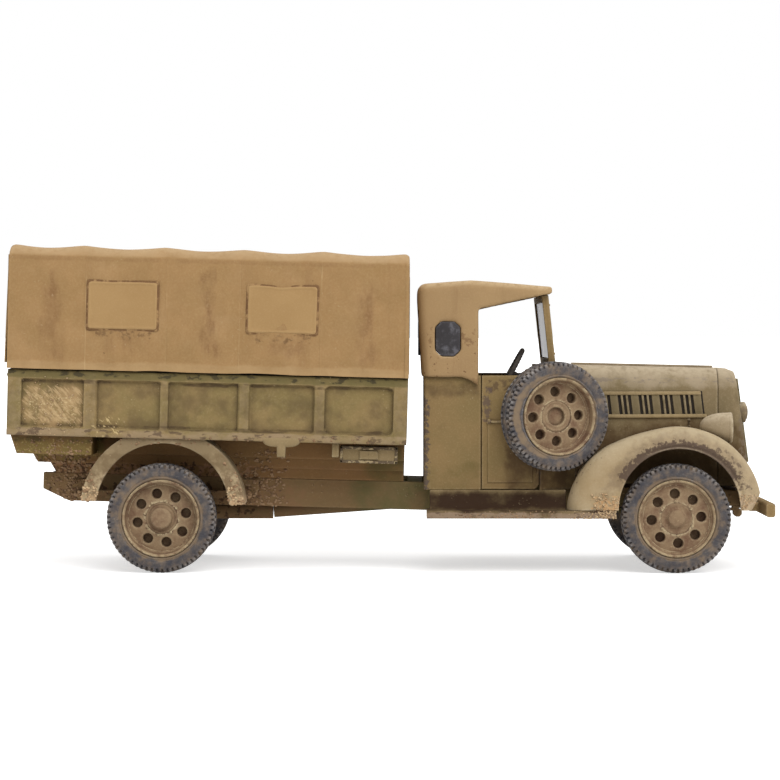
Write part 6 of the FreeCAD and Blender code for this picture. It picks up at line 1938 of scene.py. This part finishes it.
@dataclass
class BedFittings:
    """What is bolted to the load bed: lugs, brackets, latches, hinges and rivets."""

    side_y: float = 19.0
    lug_middle: float = -16.5
    lug_half: float = 2.85
    lug_top: float = 6.7
    lug_foot: float = 5.25
    lug_profile: tuple[Pair, ...] = ((1.0, -1.1), (1.0, -0.1), (0.97, 0.1), (0.9, 0.2), (0.55, 0.3),
                                     (0.25, 0.33))
    stem_half: float = 0.68
    stem_foot: float = 3.75
    bracket: Pair = (-8.9, -7.85)
    hinge_places: tuple[float, ...] = (-12.6, 0.0, 12.6)
    latch_places: tuple[float, ...] = (-16.6, 16.6)

    def build(self) -> None:
        """Builds the fittings of both sides and the tailgate."""
        self._build_lugs()
        self._build_brackets()
        self._build_tailgate_fittings()

    def _lug_outline(self) -> list[Pair]:
        """Gives the outline of a lug: a shallow bowl with a short stem under it.

        Returns:
            The points, along the bed and over the rails' top.
        """
        depth = self.lug_top - self.lug_foot
        points = []
        for step in range(25):
            turn = math.pi * step / 24
            across = math.cos(turn)
            round_x = math.copysign(abs(across) ** 0.72, across)
            points.append((self.lug_middle + self.lug_half * round_x,
                           self.lug_top - depth * math.sin(turn) ** 0.55))
        stem = [(self.lug_middle + self.stem_half * share, high)
                for share, high in ((1, self.lug_foot - 0.15), (0.9, self.stem_foot),
                                    (-0.9, self.stem_foot), (-1, self.lug_foot - 0.15))]
        return points[:12] + stem + points[13:]

    def _build_lugs(self) -> None:
        """Builds the bowl-shaped lugs on the lower rail of each side."""
        mesh = bmesh.new()
        outline = self._lug_outline()
        middle_z = (self.lug_top + self.lug_foot) / 2
        for side in Side:
            rings = []
            for share, out in self.lug_profile:
                ring = []
                for x, z in outline:
                    along = self.lug_middle + (x - self.lug_middle) * share
                    high = middle_z + (z - middle_z) * share
                    rough = 0.05 * unevenness(Vector((along, side.value, high)), 0.9, 2)
                    ring.append(pitched(along, side.value * (self.side_y - 0.15 + out + rough), high))
                rings.append(ring)
            add_ends(mesh, add_grid(mesh, rings, closed_columns=True))
        finished("bed_lugs_cast", mesh, LUG_OLIVE, 60, "bed_lugs")

    def _build_brackets(self) -> None:
        """Builds the strap beside each toolbox and the box's latch."""
        mesh = bmesh.new()
        high = box_of("toolboxes")[1] / MM
        for side in Side:
            near, far = sorted((side.value * (high.y - 0.75), side.value * (high.y + 0.35)))
            strap = add_box(mesh, (self.bracket[0], near, 3.9), (self.bracket[1], far, 6.2), bevel=0.14)
            near, far = sorted((side.value * (high.y - 0.1), side.value * (high.y + 0.22)))
            latch = add_box(mesh, (-4.2, near, 5.15), (-2.6, far, 5.5), bevel=0.08)
            for vertex in strap + latch:
                vertex.co = pitched(*vertex.co)
        finished("bed_straps", mesh, LUG_OLIVE, 40)

    def _build_tailgate_fittings(self) -> None:
        """Builds the tailgate's hinges along its foot, its latches and its rivets."""
        mesh = bmesh.new()
        low, high = (corner / MM for corner in box_of("tailgate"))
        back = low.x + 0.02
        for across in self.hinge_places:
            add_tube(mesh, [Vector((back - 0.05, across - 1.1, low.z + 0.55)) * MM,
                            Vector((back - 0.05, across + 1.1, low.z + 0.55)) * MM], 0.3 * MM, 12)
            strap = add_box(mesh, (back - 0.12, across - 0.45, low.z + 0.5),
                            (back + 0.4, across + 0.45, low.z + 4.6), bevel=0.1)
            for vertex in strap:
                vertex.co *= MM
            for rise in (1.7, 2.9, 4.1):
                add_stud(mesh, Vector((back - 0.1, across, low.z + rise)) * MM, Vector((-1, 0, 0)),
                         0.17 * MM, 0.14 * MM)
        for across in self.latch_places:
            arm = add_box(mesh, (back - 0.14, across - 0.35, high.z - 2.6),
                          (back + 0.4, across + 0.35, high.z - 0.3), bevel=0.12)
            for vertex in arm:
                vertex.co *= MM
            add_stud(mesh, Vector((back - 0.12, across, high.z - 0.9)) * MM, Vector((-1, 0, 0)),
                     0.24 * MM, 0.16 * MM, 6)
        finished("tailgate_fittings", mesh, BED_OLIVE, 40)


# ---------------------------------------------------------------- cab and hood
@dataclass
class CabFittings:
    """Handles and hinges of the doors, and the bolts of the windscreen."""

    handle: Point = (15.0, 17.3, 22.9)
    hinge_x: float = 22.45
    hinges: tuple[float, ...] = (15.6, 26.6)
    screen_lean: float = 6.1
    screen_bolts: tuple[Pair, ...] = tuple(product((-12.5, 12.5), (33.2, 40.6)))

    def build(self) -> None:
        """Builds the fittings of both doors and of the windscreen."""
        mesh = bmesh.new()
        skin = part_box("door_left")[1][1] / MM
        rear, front, high = self.handle
        for side in Side:
            out = side.value * (skin + 0.26)
            path = [Vector((rear, side.value * (skin - 0.2), high)), Vector((rear + 0.12, out, high)),
                    Vector((rear + 1.0, out + side.value * 0.05, high - 0.03)),
                    Vector((front, out, high + 0.02))]
            add_tube(mesh, [point * MM for point in path], 0.19 * MM, 10)
            add_stud(mesh, Vector((rear, side.value * skin, high)) * MM, Vector((0, side.value, 0)),
                     0.4 * MM, 0.14 * MM, 16)
            for rise in self.hinges:
                foot = Vector((self.hinge_x, side.value * (skin - 0.05), rise))
                add_tube(mesh, [(foot - Vector((0, 0, 0.55))) * MM, (foot + Vector((0, 0, 0.55))) * MM],
                         0.22 * MM, 10)
        low, tip = (corner / MM for corner in box_of("windscreen_frame"))
        for across, rise in self.screen_bolts:
            lean = (rise - low.z) * math.tan(math.radians(self.screen_lean))
            spot = Vector((tip.x - lean + 0.02, across, rise)) * MM
            add_stud(mesh, spot, Vector((1, 0, 0.1)), 0.18 * MM, 0.12 * MM)
        finished("cab_fittings", mesh, OLIVE, 40)


@dataclass
class Louvres:
    """The louvre bands on the hood's sides: groups of narrow bars between wide ones."""

    rear: Vector = field(default_factory=lambda: Vector((28.35, 10.29, 0)))
    front: Vector = field(default_factory=lambda: Vector((50.5, 7.5, 0)))
    low: float = 23.3
    high: float = 27.4
    trim: float = 0.58
    lean: float = 7.0
    first: float = 1.3
    last: float = 20.1
    pitch: float = 3.27
    wide_at: float = 2.85
    wide: float = 1.25
    narrow: float = 0.36
    narrow_at: tuple[float, ...] = (1.235, 2.025)

    def build(self) -> None:
        """Builds the near-black plate behind the bars, painted shade in the slots between them, and the
        bars and trim strips on both sides.
        """
        shade_plates, bars, trims = bmesh.new(), bmesh.new(), bmesh.new()
        for side in Side:
            self._add_block(shade_plates, side, self.first, self.last, self.low, self.high, -0.4, 0.06, 0.0)
            middle = self.wide_at - self.pitch
            while middle < self.last:
                self._add_block(bars, side, middle - self.wide / 2, middle + self.wide / 2,
                                self.low + 0.3, self.high - 0.3, -0.3, 0.24, 0.12)
                for shift in self.narrow_at:
                    self._add_block(bars, side, middle + shift - self.narrow / 2,
                                    middle + shift + self.narrow / 2, self.low + 0.3, self.high - 0.3,
                                    -0.3, 0.28, 0.08)
                middle += self.pitch
            for foot, top, end in ((self.low, self.low + self.trim, 0.25),
                                   (self.high - self.trim, self.high, -0.25)):
                self._add_block(trims, side, self.first, self.last + end, foot, top, -0.3, 0.42, 0.17)
        finished("louvre_shade_plates", shade_plates, PAINTED_SHADE, 40, "louvre_panel_left")
        finished("louvre_slats", bars, LOUVRE_BAR, 40, "louvre_panel_right")
        finished("louvre_strips", trims, LOUVRE_TRIM, 40)

    def _add_block(self, mesh: Mesh, side: Side, start: float, end: float, foot: float,
                   top: float, inside: float, outside: float, bevel: float) -> None:
        """Adds a leaning block on the hood's side, held within the band's ends.

        Args:
            mesh: The mesh that it goes into.
            side: The side of the truck.
            start: Its rear end along the hood's side.
            end: Its front end.
            foot: Its lower edge.
            top: Its upper edge.
            inside: Its back, out from the hood's side.
            outside: Its face, out from the hood's side.
            bevel: Width of its rounded edges.
        """
        start = max(start, self.first)
        end = min(end, self.last + 0.3)
        if end - start < 0.2:
            return
        way = (self.front - self.rear).normalized()
        out = Vector((-way.y, way.x, 0))
        middle = (self.low + self.high) / 2
        for vertex in add_box(mesh, (start, inside, foot), (end, outside, top), bevel=bevel):
            along, stand, rise = vertex.co
            along -= (rise - middle) * math.tan(math.radians(self.lean))
            spot = self.rear + way * max(along, self.first - 0.3) + out * stand
            vertex.co = Vector((spot.x, side.value * spot.y, rise)) * MM


@dataclass
class NoseFittings:
    """The radiator's shell and domed boss, and the hood's catches."""

    shell_forward: float = 0.85 * MM
    catches: tuple[float, ...] = (33.0, 46.0)
    catch_z: float = 21.9
    hood_rear: Pair = (28.35, 10.29)
    hood_taper: float = 0.126
    shell_lean: float = 7.6

    def build(self) -> None:
        """Builds the boss, the shell and the catches."""
        mesh = bmesh.new()
        low, high = box_of("radiator_boss")
        centre = Vector((low.x, 0, (low.z + high.z) / 2))
        radius = (high.z - low.z) / 2
        depth = high.x - low.x
        profile = [(radius * 0.96, 0.0), (radius, depth * 0.12), (radius, depth * 0.62),
                   (radius * 0.93, depth * 0.74), (radius * 0.86, depth * 0.7)]
        for step in range(9):
            turn = math.pi / 2 * step / 8
            profile.append((max(radius * 0.8 * math.cos(turn), 0.06 * MM),
                            depth * (0.7 + 0.3 * math.sin(turn))))
        place = Matrix.Translation(centre) @ Matrix.Rotation(math.pi / 2, 4, "Y")
        add_ends(mesh, add_lathe(mesh, profile, place, 40))
        finished("radiator_boss_domed", mesh, HOOD_OLIVE, 50, "radiator_boss")
        self._build_shell()
        self._build_catches()

    def _build_shell(self) -> None:
        """Builds the radiator's shell, its front drawn forward round the grille."""
        mesh = copy_of("radiator_shell")
        low, high = box_of("radiator_shell")
        lean = math.tan(math.radians(self.shell_lean))
        for vertex in mesh.verts:
            front = high.x - (vertex.co.z - low.z) * lean
            share = min(max((vertex.co.x - low.x) / (front - low.x), 0.0), 1.0)
            vertex.co.x += self.shell_forward * share ** 2
        soften_edges(mesh, 0.28 * MM, 20)
        finished("radiator_shell_cast", mesh, HOOD_OLIVE, 42, "radiator_shell")

    def _build_catches(self) -> None:
        """Builds two sprung catches on each side of the hood."""
        mesh = bmesh.new()
        for side in Side:
            for along in self.catches:
                skin = self.hood_rear[1] - self.hood_taper * (along - self.hood_rear[0])
                foot = Vector((along, side.value * skin, self.catch_z))
                top = foot + Vector((0, 0, 1.1))
                out = Vector((0, side.value * 0.2, 0))
                add_tube(mesh, [(foot + out) * MM, (foot.lerp(top, 0.5) + out * 1.5) * MM,
                                (top + out) * MM], 0.13 * MM, 8)
                for spot in (foot, top):
                    add_stud(mesh, spot * MM, Vector((0, side.value, 0)), 0.26 * MM, 0.2 * MM, 12)
        finished("hood_catches", mesh, HOOD_OLIVE, 40)


# --------------------------------------------------------------------- chassis
@dataclass
class Underframe:
    """Rivets of the rails, bolts of the springs and the bumper's bolts."""

    rail_rivets: tuple[float, ...] = (-50.0, -48.6, -45.0, -22.0, -12.0, -10.6, 2.6, 4.0, 36.0, 50.6,
                                      52.4)
    rail_out: float = 8.8
    axle_x: Pair = (43.3, -34.7)
    spring_y: Pair = (8.0, 10.0)
    bolt_half: float = 0.95

    def build(self) -> None:
        """Builds the small fasteners under the body."""
        mesh = bmesh.new()
        for side in Side:
            for along in self.rail_rivets:
                for high in (-0.9, -2.0):
                    spot = pitched(along, side.value * self.rail_out, high)
                    add_stud(mesh, spot, Vector((0, side.value, 0)), 0.17 * MM, 0.13 * MM, 8)
            self._add_bumper_bolts(mesh, side)
            for node, along, across in zip(("front_springs", "rear_springs"), self.axle_x, self.spring_y):
                self._add_spring_bolts(mesh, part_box(node)[0][2], along * MM, side.value * across * MM)
        finished("frame_fasteners", mesh, FRAME_BROWN, 40)

    def _add_bumper_bolts(self, mesh: Mesh, side: Side) -> None:
        """Adds the two bolt heads that hold the bumper to one rail.

        Args:
            mesh: The mesh that they go into.
            side: The side of the truck.
        """
        low, high = box_of("front_bumper")
        middle = (low.z + high.z) / 2
        for shift in (-0.45, 0.45):
            spot = Vector((high.x - 0.02 * MM, side.value * 8.0 * MM, middle + shift * MM))
            add_stud(mesh, spot, Vector((1, 0, 0)), 0.22 * MM, 0.16 * MM, 6)

    def _add_spring_bolts(self, mesh: Mesh, foot: float, along: float, across: float) -> None:
        """Adds the two U-bolts that hold a leaf spring to its axle.

        Args:
            mesh: The mesh that they go into.
            foot: The spring's lowest height.
            along: The axle's place along the truck.
            across: The spring's place across it.
        """
        half = self.bolt_half * MM
        for shift in (-1.35 * MM, 1.35 * MM):
            path = [Vector((along + shift, across + to * half, foot + rise * MM))
                    for to, rise in ((-1, -0.3), (-1, 1.0), (1, 1.0), (1, -0.3))]
            add_tube(mesh, path, 0.16 * MM, 8)


# ------------------------------------------------------------------------- mud
@dataclass
class MudPatch:
    """An area, seen from the side, on which mud has dried in clots."""

    along: Pair
    high: Pair
    clots: int
    size: float
    deepest: float = 8.0


@dataclass
class Mud:
    """Clots of dried mud thrown up by the wheels."""

    dark: tuple[MudPatch, ...] = (
        MudPatch((-54.0, -44.0), (8.0, 18.6), 420, 0.19, 7.0),
        MudPatch((-57.5, -46.0), (15.0, 20.4), 150, 0.13, 7.0),
        MudPatch((-25.5, -15.5), (9.0, 18.5), 340, 0.17, 7.0),
        MudPatch((-57.0, 2.0), (19.6, 20.6), 120, 0.11, 16.0),
        MudPatch((6.0, 28.5), (8.5, 9.7), 120, 0.09, 16.0),
    )
    pale: tuple[MudPatch, ...] = (
        MudPatch((30.0, 41.0), (8.6, 12.2), 520, 0.1, 13.0),
        MudPatch((26.0, 38.0), (8.4, 9.6), 160, 0.08, 13.0),
        MudPatch((51.0, 56.6), (9.9, 12.0), 150, 0.1, 13.0),
        MudPatch((-47.0, -43.0), (10.4, 13.2), 110, 0.13, 11.0),
        MudPatch((-25.4, -21.8), (10.4, 13.2), 110, 0.13, 11.0),
        MudPatch((-56.0, -46.5), (21.0, 30.0), 130, 0.07, 16.0),
    )
    seed: int = 11

    def build(self) -> None:
        """Throws the clots onto the outer faces of the chassis and the body."""
        dice = random.Random(self.seed)
        target = self._target()
        points, faces = self._pebble()
        for name, finish, patches in (("mud_clots", MUD, self.dark), ("pale_clots", PALE_MUD, self.pale)):
            mesh = bmesh.new()
            for patch in patches:
                for side in Side:
                    for spot, normal, size in self._thrown(target, patch, side, dice):
                        self._add_clot(mesh, points, faces, spot, normal, size, dice.uniform(0, 50))
            finished(name, mesh, finish, 80)

    def _target(self) -> BVHTree:
        """Gives a search tree over the solids that take mud.

        Returns:
            The tree.
        """
        mesh = bmesh.new()
        moving = ("tyre", "wheel", "spare", "rear_axle", "front_axle", "knuckles")
        for node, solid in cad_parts.items():
            if not node.startswith(moving):
                mesh.from_mesh(solid.data)
        tree = BVHTree.FromBMesh(mesh)
        mesh.free()
        return tree

    def _pebble(self) -> tuple[list[Vector], list[list[int]]]:
        """Gives the points and faces of a plain pebble of radius 1.

        Returns:
            Its points, and the numbers of the points of each face.
        """
        mesh = bmesh.new()
        bmesh.ops.create_icosphere(mesh, subdivisions=2, radius=1.0)
        mesh.verts.index_update()
        points = [vertex.co.copy() for vertex in mesh.verts]
        faces = [[vertex.index for vertex in face.verts] for face in mesh.faces]
        mesh.free()
        return points, faces

    def _thrown(self, target: BVHTree, patch: MudPatch, side: Side,
                dice: random.Random) -> Iterable[tuple[Vector, Vector, float]]:
        """Throws the clots of one patch from one side.

        Args:
            target: The solids.
            patch: Where they land.
            side: The side that they come from.
            dice: Source of chance.

        Yields:
            Place, outward direction and size of each clot that lands.
        """
        for _ in range(patch.clots):
            rise = patch.high[0] + (patch.high[1] - patch.high[0]) * dice.random() ** 1.5
            start = Vector((dice.triangular(*patch.along), side.value * 24, rise)) * MM
            size = patch.size * dice.uniform(0.5, 1.25) ** 1.6 * MM
            spot, normal, _face, _way = target.ray_cast(start, Vector((0, -side.value, 0)))
            if spot is not None and abs(spot.y) > patch.deepest * MM:
                yield spot, normal, size

    def _add_clot(self, mesh: Mesh, points: list[Vector], faces: list[list[int]],
                  spot: Vector, normal: Vector, size: float, seed: float) -> None:
        """Adds one lumpy clot, flattened against the surface.

        Args:
            mesh: The mesh that it goes into.
            points: Points of a plain pebble.
            faces: Its faces.
            spot: Where it sits.
            normal: The surface's outward direction there.
            size: Its radius.
            seed: Picks its shape.
        """
        turn = normal.to_track_quat("Z", "Y").to_matrix()
        made = []
        for way in points:
            reach = 1 + 0.5 * unevenness(way, 0.8, seed)
            local = Vector((way.x * reach * 1.25, way.y * reach, way.z * reach * 0.6))
            made.append(mesh.verts.new(spot + turn @ (local * size)))
        for corners in faces:
            mesh.faces.new([made[corner] for corner in corners])


def dress_solids() -> None:
    """Paints every solid that stays in sight."""
    for node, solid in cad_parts.items():
        finish = finish_of(node)
        solid.data.materials.clear()
        solid.data.materials.append(finish.material())
        log.info("%s painted %s", node, finish.name)


def main() -> None:
    """Builds the model's parts in order."""
    logging.basicConfig(level=logging.INFO, format="%(name)s: %(message)s")
    dress_solids()
    Studio().build()
    for assembly in (Castings(), RunningGear(), Tilt(), BedSides(), Toolboxes(), BedFittings(), CabTop(),
                     CabFittings(), Steering(), Louvres(), NoseFittings(), Wings(), Underframe(), Mud()):
        log.info("building %s", type(assembly).__name__)
        assembly.build()


if __name__ == "__main__":
    main()
